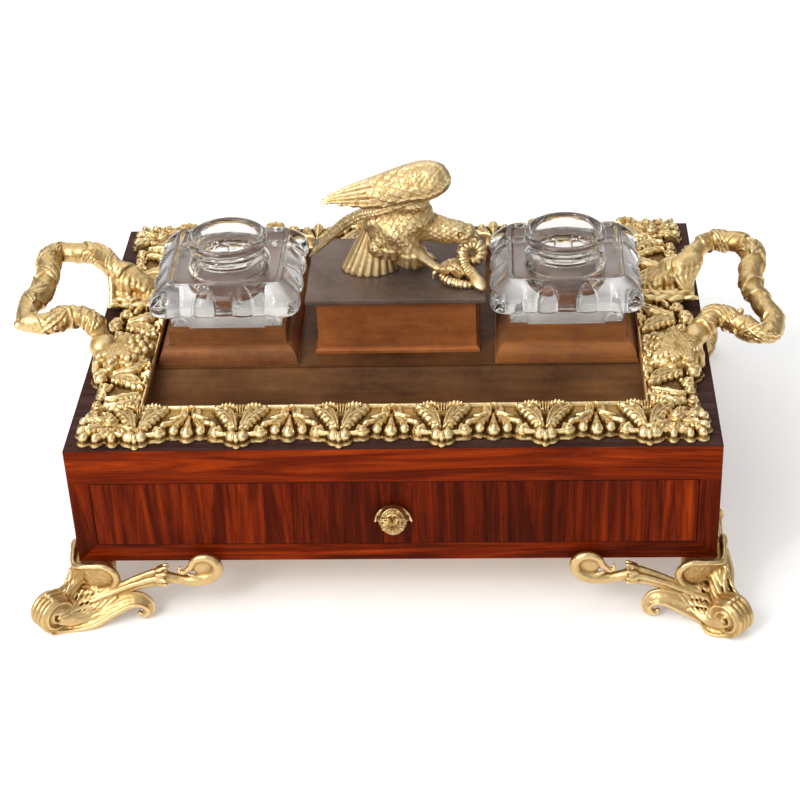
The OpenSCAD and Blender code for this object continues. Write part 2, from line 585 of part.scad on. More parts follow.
// One foot drawn at the case's +X +Y corner, whose edges meet at the local origin;
// out is the distance proud of a face, along is the distance back from the corner
module foot_flank() {
    // arm: reeded stem, calyx and scroll eye
    chain([[-6, 9, 11, 4.2], [-16, 6, 14.5, 4], [-28, 5, 20, 3.7], [-41, 4.6, 23.6, 4.6],
           [-44, 4.6, 23.6, 3], [-52, 4.4, 21.4, 2.4], [-60, 4.4, 19.6, 2.6], [-67, 4.4, 21.4, 2.6],
           [-69.4, 4.4, 25.4, 2.5], [-66, 4.4, 29, 2.4], [-61, 4.4, 28.4, 2.2]], 8);
    // lower band with its small curl
    chain([[6, 16, 5.6, 5.4], [-4, 13.6, 5, 4.8], [-14, 11, 7, 4.2], [-23, 9.6, 10.6, 3.6],
           [-29.6, 9, 10.6, 3], [-32.6, 8.8, 6.6, 2.4], [-31, 8.8, 3, 1.8]], 8);
    // stippled ear under the edge of the case
    translate([-10, 6.4, 20]) rotate([90, 0, 0]) cylinder(r = 8.6, h = 6, $fn = 20, center = true);
}
module foot() difference() {
    union() {
        foot_flank();
        mirror([1, -1, 0]) foot_flank();
        // reeded volute, lying across the diagonal
        translate([11, 16.5, 0]) rotate([0, 0, 45]) translate([0, 0, 9.7]) rotate([90, 0, 0])
            for (k = [-1.5 : 1 : 1.5]) translate([0, 0, k * 4.3]) {
                cylinder(r1 = 10, r2 = 9.2, h = 2.2, $fn = 20);
                mirror([0, 0, 1]) cylinder(r1 = 10, r2 = 9.2, h = 2.2, $fn = 20);
            }
        // flat that it stands on, filling the channels between the ribs
        translate([11, 16.5, 0]) rotate([0, 0, 45]) translate([-2.4, -8.4, 0]) cube([4.8, 16.8, 1]);
        // leaf-covered body from the volute up to the corner
        hull() {
            translate([9, 12, 10]) sphere(r = 8, $fn = 12);
            translate([-6, -4, zb - 6]) cube([12, 12, 6]);
            translate([-12, -12, 12]) sphere(r = 3, $fn = 10);
        }
        // flat plate under the case
        translate([0, 0, zb - 3]) linear_extrude(3) polygon([[4, 4], [-38, 4], [-38, -8], [-8, -38], [4, -38]]);
    }
    translate([-100, -100, -50]) cube([200, 200, 50]);
    translate([-100, -100, zb]) cube([100, 100, 30]);
}
module foot_at(sx, sy) color(gilt) translate([sx * hw, sy * hd, 0])
    mirror([sx > 0 ? 0 : 1, 0, 0]) mirror([0, sy > 0 ? 0 : 1, 0]) foot();
module foot_front_left() foot_at(-1, -1);
module foot_front_right() foot_at(1, -1);
module foot_rear_left() foot_at(-1, 1);
module foot_rear_right() foot_at(1, 1);
module foot_screws() color(steel) for (sx = [-1, 1], sy = [-1, 1], p = foot_screw_at(sx, sy))
    translate([p[0], p[1], zb - 3]) {
        cylinder(d = 3.2, h = 7.5, $fn = 24);
        translate([0, 0, -1.2]) cylinder(d = 6, h = 1.2, $fn = 24);
    }

carcass_bottom();
carcass_left_side();
carcass_right_side();
carcass_back();
carcass_top();
front_lower_rail();
front_upper_rail();
drawer_runners();
drawer_kickers();
drawer_stops();
top_veneer();
front_top_veneer();
front_bottom_veneer();
front_stile_veneers();
left_side_veneer();
right_side_veneer();
back_veneer();
drawer_front();
drawer_front_veneer();
drawer_left_side();
drawer_right_side();
drawer_back();
drawer_bottom();
drawer_knob();
knob_collar();
knob_stud();
knob_nut();
bronze_tray();
left_stand();
right_stand();
stand_screws();
wafer_box();
wafer_box_screws();
wafer_lid();
eagle_body();
eagle_near_wing();
eagle_far_wing();
serpent();
figure_stud();
figure_nut();
border();
border_screws();
left_handle();
right_handle();
handle_studs();
handle_nuts();
left_inkwell();
right_inkwell();
foot_front_left();
foot_front_right();
foot_rear_left();
foot_rear_right();
foot_screws();
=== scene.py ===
import math
import time

import bpy
import numpy as np
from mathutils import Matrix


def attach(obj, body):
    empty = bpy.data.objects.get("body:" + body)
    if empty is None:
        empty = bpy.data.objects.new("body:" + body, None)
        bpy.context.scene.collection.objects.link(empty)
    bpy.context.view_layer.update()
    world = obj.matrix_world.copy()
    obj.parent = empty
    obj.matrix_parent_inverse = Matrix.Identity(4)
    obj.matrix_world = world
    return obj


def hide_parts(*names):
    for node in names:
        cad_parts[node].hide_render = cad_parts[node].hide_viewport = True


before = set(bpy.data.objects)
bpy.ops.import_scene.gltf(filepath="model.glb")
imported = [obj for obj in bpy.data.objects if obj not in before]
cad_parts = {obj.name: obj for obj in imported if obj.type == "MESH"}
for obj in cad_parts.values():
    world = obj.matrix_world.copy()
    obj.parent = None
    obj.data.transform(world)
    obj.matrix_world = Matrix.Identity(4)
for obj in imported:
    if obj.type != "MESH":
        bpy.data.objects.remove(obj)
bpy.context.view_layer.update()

import openvdb as vdb
from mathutils import Matrix, Vector

MM = 0.001
F = np.float32
T0 = time.time()


def lap(label):
    print(f"[{time.time() - T0:6.1f} s] {label}", flush=True)


# ---------------------------------------------------------------- shapes
# Castings are made as signed distance fields in millimetres, negative inside, and meshed with OpenVDB.


def unit(v):
    v = np.asarray(v, float)
    return v / max(np.linalg.norm(v), 1e-9)


def spline(points, step):
    """A Catmull-Rom curve through the rows of points (any number of columns; the first three are the place), sampled about every step."""
    P = np.asarray(points, float)
    P = np.vstack([2 * P[0] - P[1], P, 2 * P[-1] - P[-2]])
    out = []
    for i in range(1, len(P) - 2):
        a, b, c, d = P[i - 1], P[i], P[i + 1], P[i + 2]
        n = max(1, int(round(np.linalg.norm((c - b)[:3]) / step)))
        for t in np.arange(n) / n:
            out.append(
                0.5
                * (
                    2 * b
                    + (c - a) * t
                    + (2 * a - 5 * b + 4 * c - d) * t**2
                    + (3 * b - a - 3 * c + d) * t**3
                )
            )
    out.append(P[-2])
    return np.array(out)


def smin(a, b, k):
    if k <= 0:
        return np.minimum(a, b)
    e = np.maximum(k - np.abs(a - b), 0) / k
    return np.minimum(a, b) - e * e * (k * 0.25)


def smax(a, b, k):
    return -smin(-a, -b, k)


def turn(axis, angle):
    """Rotation matrix about axis by angle in degrees."""
    return np.array(Matrix.Rotation(math.radians(angle), 3, Vector(axis)), float)


class Vol:
    def __init__(self, lo, hi, h):
        self.h = h
        self.lo = np.array(lo, F)
        self.n = [int(math.ceil((hi[i] - lo[i]) / h)) + 1 for i in range(3)]
        self.d = np.full(self.n, 5.0, F)

    def window(self, lo, hi):
        a = [max(0, int(math.floor((lo[i] - self.lo[i]) / self.h))) for i in range(3)]
        b = [
            min(self.n[i], int(math.ceil((hi[i] - self.lo[i]) / self.h)) + 1)
            for i in range(3)
        ]
        if min(b[i] - a[i] for i in range(3)) <= 0:
            return None
        ax = [self.lo[i] + self.h * np.arange(a[i], b[i], dtype=F) for i in range(3)]
        return (
            tuple(slice(a[i], b[i]) for i in range(3)),
            ax[0][:, None, None],
            ax[1][None, :, None],
            ax[2][None, None, :],
        )

    def put(self, sl, v, k=0.0, carve=False):
        cur = self.d[sl]
        if carve:
            cur[...] = smax(cur, -v, k)
        else:
            cur[...] = smin(cur, v, k)

    def fn(self, lo, hi, f, k=0.0, carve=False):
        w = self.window(lo, hi)
        if w is not None:
            self.put(w[0], f(w[1], w[2], w[3]).astype(F), k, carve)

    def ball(self, c, r, k=0.8, carve=False):
        m = r + k + 1
        self.fn(
            [c[i] - m for i in range(3)],
            [c[i] + m for i in range(3)],
            lambda x, y, z: np.sqrt((x - c[0]) ** 2 + (y - c[1]) ** 2 + (z - c[2]) ** 2)
            - r,
            k,
            carve,
        )

    def ell(self, c, r, axes=None, k=0.8, carve=False):
        m = max(r) + k + 1

        def f(x, y, z):
            X, Y, Z = x - c[0], y - c[1], z - c[2]
            p = (
                (X, Y, Z)
                if axes is None
                else tuple(a[0] * X + a[1] * Y + a[2] * Z for a in axes)
            )
            q0 = np.sqrt(sum((p[i] / r[i]) ** 2 for i in range(3)))
            q1 = np.sqrt(sum((p[i] / r[i] ** 2) ** 2 for i in range(3)))
            return q0 * (q0 - 1) / np.maximum(q1, 1e-4)

        self.fn([c[i] - m for i in range(3)], [c[i] + m for i in range(3)], f, k, carve)

    def cone(self, a, b, ra, rb, k=0.8, carve=False):
        a, b = np.asarray(a, float), np.asarray(b, float)
        m = max(ra, rb) + k + 1
        e = b - a
        L2 = float(e @ e) + 1e-9

        def f(x, y, z):
            X, Y, Z = x - a[0], y - a[1], z - a[2]
            t = np.clip((X * e[0] + Y * e[1] + Z * e[2]) / L2, 0, 1)
            return np.sqrt(
                (X - t * e[0]) ** 2 + (Y - t * e[1]) ** 2 + (Z - t * e[2]) ** 2
            ) - (ra + (rb - ra) * t)

        self.fn(np.minimum(a, b) - m, np.maximum(a, b) + m, f, k, carve)

    def sweep(self, pts, reach, f, k=0.8, normal=(0, 0, 1), carve=False):
        """f(s, a, b, c) gives a distance from the arc length s, the offsets a sideways and b along the normal, and c past the ends."""
        P = np.asarray(pts, float)[:, :3]
        T = np.gradient(P, axis=0)
        T /= np.linalg.norm(T, axis=1)[:, None]
        N, n = np.zeros_like(P), np.asarray(normal, float)
        for i in range(len(P)):
            n = unit(n - (n @ T[i]) * T[i])
            N[i] = n
        B = np.cross(T, N)
        w = self.window(P.min(0) - reach, P.max(0) + reach)
        if w is None:
            return
        base = [q.start for q in w[0]]
        shape = [q.stop - q.start for q in w[0]]
        best = np.full(shape, 1e6, F)
        S, A, Bn, C = (np.zeros(shape, F) for _ in range(4))
        arc = 0.0
        for i in range(len(P) - 1):
            p, e = P[i], P[i + 1] - P[i]
            L2 = float(e @ e)
            L = math.sqrt(L2)
            v = self.window(
                np.minimum(P[i], P[i + 1]) - reach, np.maximum(P[i], P[i + 1]) + reach
            )
            if v is None:
                arc += L
                continue
            sl, x, y, z = v
            rel = tuple(
                slice(sl[j].start - base[j], sl[j].stop - base[j]) for j in range(3)
            )
            X, Y, Z = x - F(p[0]), y - F(p[1]), z - F(p[2])
            t0 = (X * F(e[0]) + Y * F(e[1]) + Z * F(e[2])) / F(L2)
            t = np.clip(t0, 0, 1)
            X, Y, Z = X - t * F(e[0]), Y - t * F(e[1]), Z - t * F(e[2])
            d2 = X * X + Y * Y + Z * Z
            m = d2 < best[rel]
            if not m.any():
                arc += L
                continue

            def dot(u, v_):
                return (X * F(u[0]) + Y * F(u[1]) + Z * F(u[2])) * (1 - t) + (
                    X * F(v_[0]) + Y * F(v_[1]) + Z * F(v_[2])
                ) * t

            np.copyto(best[rel], d2, where=m)
            np.copyto(S[rel], F(arc) + t * F(L), where=m)
            a_, b_ = dot(B[i], B[i + 1]), dot(N[i], N[i + 1])
            np.copyto(A[rel], a_, where=m)
            np.copyto(Bn[rel], b_, where=m)
            arc += L
        near = best < reach * reach
        C = np.sqrt(np.maximum(best - A * A - Bn * Bn, 0))
        v = np.where(near, f(S, A, Bn, C), 5.0).astype(F)
        self.put(w[0], v, k, carve)

    def tube(self, pts, k=0.8, flat=1.0, normal=(0, 0, 1), extra=1.0):
        """A round tube whose radius is the fourth column."""
        P = np.asarray(pts, float)
        s = np.concatenate(
            [[0], np.cumsum(np.linalg.norm(np.diff(P[:, :3], axis=0), axis=1))]
        )
        r = P[:, 3]
        self.sweep(
            P,
            r.max() + extra + k,
            lambda S, a, b, c: np.sqrt(a * a + (b / flat) ** 2 + c * c)
            - np.interp(S, s, r),
            k,
            normal,
        )

    def cut_below(self, z):
        zz = self.lo[2] + self.h * np.arange(self.n[2], dtype=F)[None, None, :]
        np.maximum(self.d, z - zz, out=self.d)

    def rough(self, amp, cell, seed=1, lo=None, hi=None):
        """Push the surface in and out by smooth noise with cells of the given size."""
        g = np.random.RandomState(seed).uniform(-1, 1, [int(n * self.h / cell) + 3 for n in self.n]).astype(F)
        for ax in range(3):
            q = np.arange(self.n[ax]) * self.h / cell
            i = np.floor(q).astype(int)
            f = (q - i).astype(F)
            f = f * f * (3 - 2 * f)
            f = f.reshape([-1 if j == ax else 1 for j in range(3)])
            g = np.take(g, i, ax) * (1 - f) + np.take(g, i + 1, ax) * f
        self.d += np.where(np.abs(self.d) < 2.5, amp * g, 0)

    def mesh(self, adaptivity=0.0):
        d = self.d
        for ax in range(3):  # closed at the edge of the grid
            for e in (0, -1):
                idx = [slice(None)] * 3
                idx[ax] = e
                d[tuple(idx)] = np.maximum(d[tuple(idx)], 0.5)
        g = vdb.FloatGrid(5.0)
        g.copyFromArray(d)
        g.transform = vdb.createLinearTransform(voxelSize=self.h)
        p, t, q = g.convertToPolygons(isovalue=0.0, adaptivity=adaptivity)
        p = p.astype(F)
        small = self.sample(self.blur(0.9), p) / 0.45
        wide = self.sample(self.blur(2.6), p) / 1.5
        return p + self.lo, t, q, np.clip(small, -1, 1), np.clip(wide, -1, 1)

    def blur(self, r):
        k = max(1, int(round(r / self.h)))
        a = np.clip(self.d, -2.5, 2.5)
        for ax in range(3):
            for _ in range(2):
                n = a.shape[ax]
                c = np.cumsum(a, axis=ax, dtype=np.float64)
                lo = np.clip(np.arange(n) - k - 1, -1, n - 1)
                hi = np.clip(np.arange(n) + k, 0, n - 1)
                top = np.take(c, hi, axis=ax)
                bot = np.take(c, np.maximum(lo, 0), axis=ax)
                sh = [1, 1, 1]
                sh[ax] = n
                bot = bot * (lo >= 0).reshape(sh)
                a = ((top - bot) / (hi - lo).reshape(sh)).astype(F)
                if k < 3:
                    break
        return a

    def sample(self, field, p):
        q = p / F(self.h)
        i = np.floor(q).astype(int)
        f = q - i
        for j in range(3):
            i[:, j] = np.clip(i[:, j], 0, self.n[j] - 2)
        out = np.zeros(len(p), F)
        for a in (0, 1):
            for b in (0, 1):
                for c in (0, 1):
                    wgt = (
                        (f[:, 0] if a else 1 - f[:, 0])
                        * (f[:, 1] if b else 1 - f[:, 1])
                        * (f[:, 2] if c else 1 - f[:, 2])
                    )
                    out += wgt * field[i[:, 0] + a, i[:, 1] + b, i[:, 2] + c]
        return out


def add_mesh(name, p, tris, quads, mat, body, attrs=None, smooth=True):
    """An object from vertex places in millimetres."""
    me = bpy.data.meshes.new(name)
    tris = np.asarray(tris, np.int32).reshape(-1, 3)
    quads = np.asarray(quads, np.int32).reshape(-1, 4)
    loops = np.concatenate([tris.ravel(), quads.ravel()])
    start = np.concatenate(
        [
            np.arange(len(tris)) * 3,
            len(tris) * 3 + np.arange(len(quads)) * 4,
        ]
    ).astype(np.int32)
    me.vertices.add(len(p))
    me.vertices.foreach_set("co", (np.asarray(p, np.float64) * MM).astype(F).ravel())
    me.loops.add(len(loops))
    me.loops.foreach_set("vertex_index", loops)
    me.polygons.add(len(start))
    me.polygons.foreach_set("loop_start", start)
    me.update(calc_edges=True)
    me.validate()
    me.polygons.foreach_set("use_smooth", np.full(len(me.polygons), smooth, bool))
    for key, values in (attrs or {}).items():
        at = me.attributes.new(key, "FLOAT", "POINT")
        at.data.foreach_set("value", np.asarray(values, F))
    me.update()
    ob = bpy.data.objects.new(name, me)
    bpy.context.scene.collection.objects.link(ob)
    me.materials.append(mat)
    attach(ob, body)
    return ob


def cast(name, vol, mat, body, mirror=(1, 1, 1), adaptivity=0.0):
    p, t, q, small, wide = vol.mesh(adaptivity)
    return place(name, (p, t, q, small, wide), mat, body, mirror)


def place(name, made, mat, body, mirror=(1, 1, 1), shift=(0, 0, 0)):
    p, t, q, small, wide = made
    p = p * np.array(mirror, F) + np.array(shift, F)
    if mirror[0] * mirror[1] * mirror[2] < 0:
        t, q = t[:, ::-1], q[:, ::-1]
    ob = add_mesh(name, p, t, q, mat, body, {"cav": small, "wide": wide})
    print(f"    {name}: {len(p)} vertices, {len(t) + 2 * len(q)} triangles")
    return ob


class Rand:
    """The same numbers at every run."""

    def __init__(self, seed):
        self.r = np.random.RandomState(seed)

    def __call__(self, lo=0.0, hi=1.0):
        return float(self.r.uniform(lo, hi))


# ---------------------------------------------------------------- camera, light, floor


def make_camera():
    az, el, roll = (math.radians(v) for v in (3.679, 33.605, -2.639))
    sa, ca, se, ce = math.sin(az), math.cos(az), math.sin(el), math.cos(el)
    fwd = Vector((-sa * ce, ca * ce, -se))
    right = Vector((ca, sa, 0))
    up = right.cross(fwd)
    sr, cr = math.sin(roll), math.cos(roll)
    r = cr * right + sr * up
    u = -sr * right + cr * up
    m = Matrix((r, u, -fwd)).transposed().to_4x4()
    m.translation = Vector((0.05270, -0.83763, 0.60631))
    cam = bpy.data.cameras.new("camera")
    cam.sensor_width = 36
    cam.lens = 89.26
    cam.clip_start, cam.clip_end = 0.05, 50
    ob = bpy.data.objects.new("camera", cam)
    ob.matrix_world = m
    bpy.context.scene.collection.objects.link(ob)
    bpy.context.scene.camera = ob


def area(name, where, aim, size, power, colour=(1, 1, 1), size_y=None, spread=180):
    lamp = bpy.data.lights.new(name, "AREA")
    lamp.shape = "RECTANGLE"
    lamp.size, lamp.size_y = size, size_y or size
    lamp.energy = power
    lamp.color = colour
    lamp.spread = math.radians(spread)
    ob = bpy.data.objects.new(name, lamp)
    d = Vector(aim) - Vector(where)
    ob.matrix_world = (
        Matrix.Translation(Vector(where)) @ d.to_track_quat("-Z", "Y").to_matrix().to_4x4()
    )
    bpy.context.scene.collection.objects.link(ob)
    return ob


def lin(*rgb):
    """Linear colour from 0-255 sRGB numbers."""
    out = []
    for v in rgb:
        c = v / 255
        out.append(c / 12.92 if c <= 0.04045 else ((c + 0.055) / 1.055) ** 2.4)
    return (*out, 1.0)


class Nodes:
    """A short way to write node trees."""

    def __init__(self, name):
        self.m = bpy.data.materials.new(name)
        self.m.use_nodes = True
        self.t = self.m.node_tree
        self.t.nodes.clear()
        self.out = self.t.nodes.new("ShaderNodeOutputMaterial")
        self.b = self.t.nodes.new("ShaderNodeBsdfPrincipled")
        self.t.links.new(self.b.outputs[0], self.out.inputs["Surface"])

    def node(self, kind, inputs=None, **props):
        n = self.t.nodes.new(kind)
        for k, v in props.items():
            setattr(n, k, v)
        for k, v in (inputs or {}).items():
            self.set(n.inputs[k], v)
        return n

    def set(self, socket, v):
        if isinstance(v, bpy.types.NodeSocket):
            self.t.links.new(v, socket)
        elif isinstance(v, bpy.types.Node):
            self.t.links.new(v.outputs[0], socket)
        else:
            socket.default_value = v

    def coords(self, scale=(1, 1, 1), rotate=(0, 0, 0), move=(0, 0, 0)):
        c = self.node("ShaderNodeTexCoord")
        return self.node(
            "ShaderNodeMapping",
            {
                "Vector": c.outputs["Object"],
                "Scale": scale,
                "Rotation": tuple(math.radians(v) for v in rotate),
                "Location": move,
            },
        ).outputs[0]

    def noise(self, vec, scale, detail=4.0, rough=0.55, distortion=0.0, out="Fac"):
        return self.node(
            "ShaderNodeTexNoise",
            {
                "Vector": vec,
                "Scale": scale,
                "Detail": detail,
                "Roughness": rough,
                "Distortion": distortion,
            },
        ).outputs[out]

    def ramp(self, fac, stops, mode="LINEAR"):
        n = self.node("ShaderNodeValToRGB", {"Fac": fac})
        n.color_ramp.interpolation = mode
        e = n.color_ramp.elements
        while len(e) > 1:
            e.remove(e[-1])
        e[0].position, e[0].color = stops[0]
        for pos, col in stops[1:]:
            e.new(pos).color = col
        return n.outputs[0]

    def math(self, op, a, b=None, c=None, clamp=False):
        n = self.node("ShaderNodeMath", operation=op, use_clamp=clamp)
        for i, v in enumerate((a, b, c)):
            if v is not None:
                self.set(n.inputs[i], v)
        return n.outputs[0]

    def span(self, v, a, b, c=0.0, d=1.0, smooth=False):
        return self.node(
            "ShaderNodeMapRange",
            {
                "Value": v,
                "From Min": a,
                "From Max": b,
                "To Min": c,
                "To Max": d,
            },
            interpolation_type="SMOOTHSTEP" if smooth else "LINEAR",
        ).outputs[0]

    def mix(self, fac, a, b, mode="MIX"):
        n = self.node("ShaderNodeMix", data_type="RGBA", blend_type=mode)
        self.set(n.inputs[0], fac)
        self.set(n.inputs[6], a)
        self.set(n.inputs[7], b)
        return n.outputs[2]

    def attr(self, name):
        return self.node("ShaderNodeAttribute", attribute_name=name).outputs["Fac"]

    def bump(self, height, strength, distance, normal=None):
        n = self.node(
            "ShaderNodeBump",
            {"Height": height, "Strength": strength, "Distance": distance},
        )
        if normal is not None:
            self.set(n.inputs["Normal"], normal)
        return n.outputs[0]

    def finish(self, **sockets):
        for k, v in sockets.items():
            self.set(self.b.inputs[k.replace("_", " ")], v)
        return self.m


# ---------------------------------------------------------------- materials


def gilt(name, deep, mid, high, rough=0.3, grain=1.0):
    """Fire-gilt bronze: matt in the hollows, burnished on the high places; its colour is painted darker in the hollows
    as painted shade and lighter on the high places as painted highlight.
    """
    n = Nodes(name)
    v = n.coords()
    cav, wide = n.attr("cav"), n.attr("wide")
    big = n.noise(v, 60, 3, 0.6)
    fine = n.noise(v, 900, 5, 0.65)
    height = n.math("ADD", n.math("MULTIPLY", cav, 0.45), n.math("MULTIPLY", wide, 0.35))
    height = n.math("ADD", height, n.math("MULTIPLY", n.math("SUBTRACT", big, 0.5), 0.5))
    height = n.math("ADD", height, n.math("MULTIPLY", n.math("SUBTRACT", fine, 0.5), 0.25))
    f = n.span(height, -0.62, 0.5)
    # painted shade and painted highlight: the cavity measures cav and wide, with random noise, pick the colour from
    # deep in the hollows to high on the raised places
    col = n.ramp(f, [(0.0, deep), (0.45, mid), (1.0, high)])
    r = n.math("ADD", n.span(height, -0.5, 0.5, rough + 0.22, rough - 0.04), n.math("MULTIPLY", n.math("SUBTRACT", fine, 0.5), 0.16))
    pits = n.noise(v, 1500, 3, 0.7)
    hammer = n.noise(v, 420, 2, 0.5)
    nb = n.bump(pits, 0.18 * grain, 0.00025)
    nb = n.bump(hammer, 0.30 * grain, 0.0006, nb)
    return n.finish(Base_Color=col, Metallic=1.0, Roughness=r, Normal=nb)


def rosewood(name, grain, tone=0.0, gloss=0.22, seed=0.0, figure=1.0, top=False):
    """Veneer with its grain along the axis named by grain ('x', 'y' or 'z')."""
    n = Nodes(name)
    stretch = {"x": (0.055, 1, 1), "y": (1, 0.055, 1), "z": (1, 1, 0.055)}[grain]
    mv = (0.37 * seed, 0.71 * seed, 0.53 * seed)
    v = n.coords(stretch, move=mv)
    v2 = n.coords(tuple(0.35 if s == 0.055 else 1 for s in stretch), move=mv)
    wavy = n.noise(v2, 14, 3, 0.5, 0.4)
    figure_line = n.noise(v, 130, 6, 0.62, 1.6)
    line = n.noise(v, 420, 4, 0.6, 0.8)
    pore = n.noise(v, 1500, 3, 0.7)
    f = n.math("ADD", n.math("MULTIPLY", figure_line, 0.95 * figure), n.math("MULTIPLY", wavy, 0.45))
    f = n.math("ADD", f, n.math("MULTIPLY", line, 0.32))
    f = n.math("ADD", f, tone - 0.86 - 0.475 * (figure - 1) + 0.5)
    if top:
        col = n.ramp(f, [(0.22, lin(32, 18, 16)), (0.42, lin(54, 34, 31)), (0.6, lin(76, 51, 47)), (0.8, lin(98, 69, 62))])
    else:
        col = n.ramp(
            f,
            [
                (0.18, lin(36, 10, 2)),
                (0.38, lin(74, 20, 4)),
                (0.52, lin(110, 33, 6)),
                (0.66, lin(144, 50, 9)),
                (0.84, lin(178, 74, 16)),
            ],
        )
    dark = n.span(pore, 0.60, 0.70, 0, 0.55)
    col = n.mix(dark, col, lin(24, 8, 6))
    blotch = n.noise(n.coords(move=mv), 22, 3, 0.5)
    col = n.mix(n.span(blotch, 0.45, 0.7, 0, 0.35), col, lin(44, 14, 10))
    if not top:  # the veneer's own top edge, stained like the top
        geo = n.node("ShaderNodeNewGeometry")
        up = n.node("ShaderNodeSeparateXYZ", {"Vector": geo.outputs["Normal"]}).outputs["Z"]
        col = n.mix(n.span(up, 0.6, 0.8), col, lin(60, 36, 32))
    haze = n.noise(n.coords(move=mv), 35, 5, 0.6)
    r = n.span(haze, 0.3, 0.7, gloss - 0.05, gloss + 0.13)
    nb = n.bump(pore, 0.22, 0.0002)
    nb = n.bump(n.noise(n.coords(), 18, 2, 0.5), 0.12, 0.002, nb)
    m = n.finish(Base_Color=col, Roughness=r, Normal=nb)
    n.b.inputs["Coat Weight"].default_value = 0.0
    n.b.inputs["Coat Roughness"].default_value = 0.09
    n.b.inputs["Specular IOR Level"].default_value = 0.03
    return m


def plain_wood(name, grain, light, dark, rough=0.6, seed=0.0):
    n = Nodes(name)
    stretch = {"x": (0.06, 1, 1), "y": (1, 0.06, 1), "z": (1, 1, 0.06)}[grain]
    mv = (0.31 * seed, 0.67 * seed, 0.41 * seed)
    v = n.coords(stretch, move=mv)
    rings = n.noise(v, 70, 4, 0.55, 1.2)
    fine = n.noise(v, 600, 4, 0.65)
    f = n.math("ADD", n.math("MULTIPLY", rings, 0.75), n.math("MULTIPLY", fine, 0.3))
    col = n.ramp(f, [(0.36, dark), (0.68, light)])
    dust = n.noise(n.coords(), 40, 4, 0.6)
    col = n.mix(n.span(dust, 0.5, 0.75, 0, 0.3), col, lin(70, 52, 38))
    nb = n.bump(fine, 0.3, 0.0003)
    return n.finish(Base_Color=col, Roughness=n.span(dust, 0.3, 0.7, rough - 0.08, rough + 0.12), Normal=nb)


def bronze(name, deep, mid, high, rough=0.36, streak="x", metal=0.75, seed=0.0):
    """Brown lacquered bronze, rubbed thin in random clouds and streaks."""
    n = Nodes(name)
    mv = (0.3 * seed, 0.2 * seed, 0.1 * seed)
    stretch = {"x": (0.12, 1, 1), "y": (1, 0.12, 1), "z": (1, 1, 0.12), "n": (1, 1, 1)}[streak]
    cloud = n.noise(n.coords(move=mv), 16, 5, 0.62)
    brush = n.noise(n.coords(stretch, move=mv), 260, 5, 0.65)
    spots = n.noise(n.coords(move=mv), 320, 4, 0.7)
    f = n.math("ADD", n.math("MULTIPLY", cloud, 0.8), n.math("MULTIPLY", brush, 0.28))
    f = n.math("ADD", f, n.math("MULTIPLY", spots, 0.12))
    col = n.ramp(f, [(0.42, deep), (0.6, mid), (0.8, high)])
    col = n.mix(n.span(spots, 0.62, 0.72, 0, 0.5), col, deep)
    r = n.math("ADD", n.span(cloud, 0.3, 0.7, rough + 0.1, rough - 0.06), n.math("MULTIPLY", n.math("SUBTRACT", brush, 0.5), 0.2))
    nb = n.bump(brush, 0.08, 0.0003)
    nb = n.bump(n.noise(n.coords(move=mv), 90, 3, 0.5), 0.12, 0.0008, nb)
    m = n.finish(Base_Color=col, Metallic=metal, Roughness=r, Normal=nb)
    n.b.inputs["Specular IOR Level"].default_value = 0.12
    return m


def fixings(name, colour, dark, rough):
    n = Nodes(name)
    v = n.coords()
    a = n.noise(v, 240, 4, 0.6)
    b = n.noise(v, 1800, 3, 0.7)
    col = n.ramp(a, [(0.35, dark), (0.65, colour)])
    return n.finish(Base_Color=col, Metallic=1.0, Roughness=n.span(a, 0.3, 0.7, rough + 0.12, rough - 0.05), Normal=n.bump(b, 0.2, 0.0002))


def glass(name):
    n = Nodes(name)
    v = n.coords()
    ripple = n.noise(v, 150, 2, 0.5)
    smear = n.noise(v, 55, 4, 0.6)
    ground = n.attr("ground")
    groove_glint = n.attr("groove_glint")
    r = n.math("ADD", n.span(smear, 0.4, 0.75, 0.03, 0.09), n.math("ADD", n.math("MULTIPLY", ground, 0.34), n.math("MULTIPLY", groove_glint, 0.12)))
    tint = n.ramp(smear, [(0.3, (0.84, 0.82, 0.79, 1)), (0.7, (0.94, 0.93, 0.91, 1))])
    # painted reflection: the ground underside is tinted warm brown to stand in for the bronze stand seen through and
    # mirrored in it; its extra roughness is the ground glass
    tint = n.mix(ground, tint, (0.90, 0.74, 0.56, 1))
    # painted highlight: the groove lines round the gadroons are tinted white to stand in for bright glints, and made a
    # little rougher
    tint = n.mix(groove_glint, tint, (1.0, 1.0, 1.0, 1))
    m = n.finish(Base_Color=tint, Roughness=r, Normal=n.bump(ripple, 0.04, 0.0006))
    n.b.inputs["Transmission Weight"].default_value = 1.0
    n.b.inputs["IOR"].default_value = 1.47
    return m


# the first colour of each is the painted shade of the hollows, the last the painted highlight of the high places
GILT = gilt("gilt_chased", lin(78, 52, 22), lin(198, 162, 102), lin(246, 222, 168), 0.33)
GILT_SOFT = gilt("gilt_smooth", lin(100, 70, 34), lin(200, 168, 112), lin(236, 212, 164), 0.33, 0.9)
GILT_FOOT = gilt("gilt_feet", lin(78, 50, 20), lin(184, 148, 92), lin(232, 204, 150), 0.33, 1.0)
GILT_FINE = gilt("gilt_plumage", lin(92, 66, 32), lin(200, 168, 114), lin(238, 214, 166), 0.36, 1.3)


# ---------------------------------------------------------------- the border

ZT = 91.2  # the top veneer's face
ZG = 94.4  # ground of the border
RIM_X, RIM_F, RIM_B = 116.6, -73.7, 74.7
PITCH = 46.8


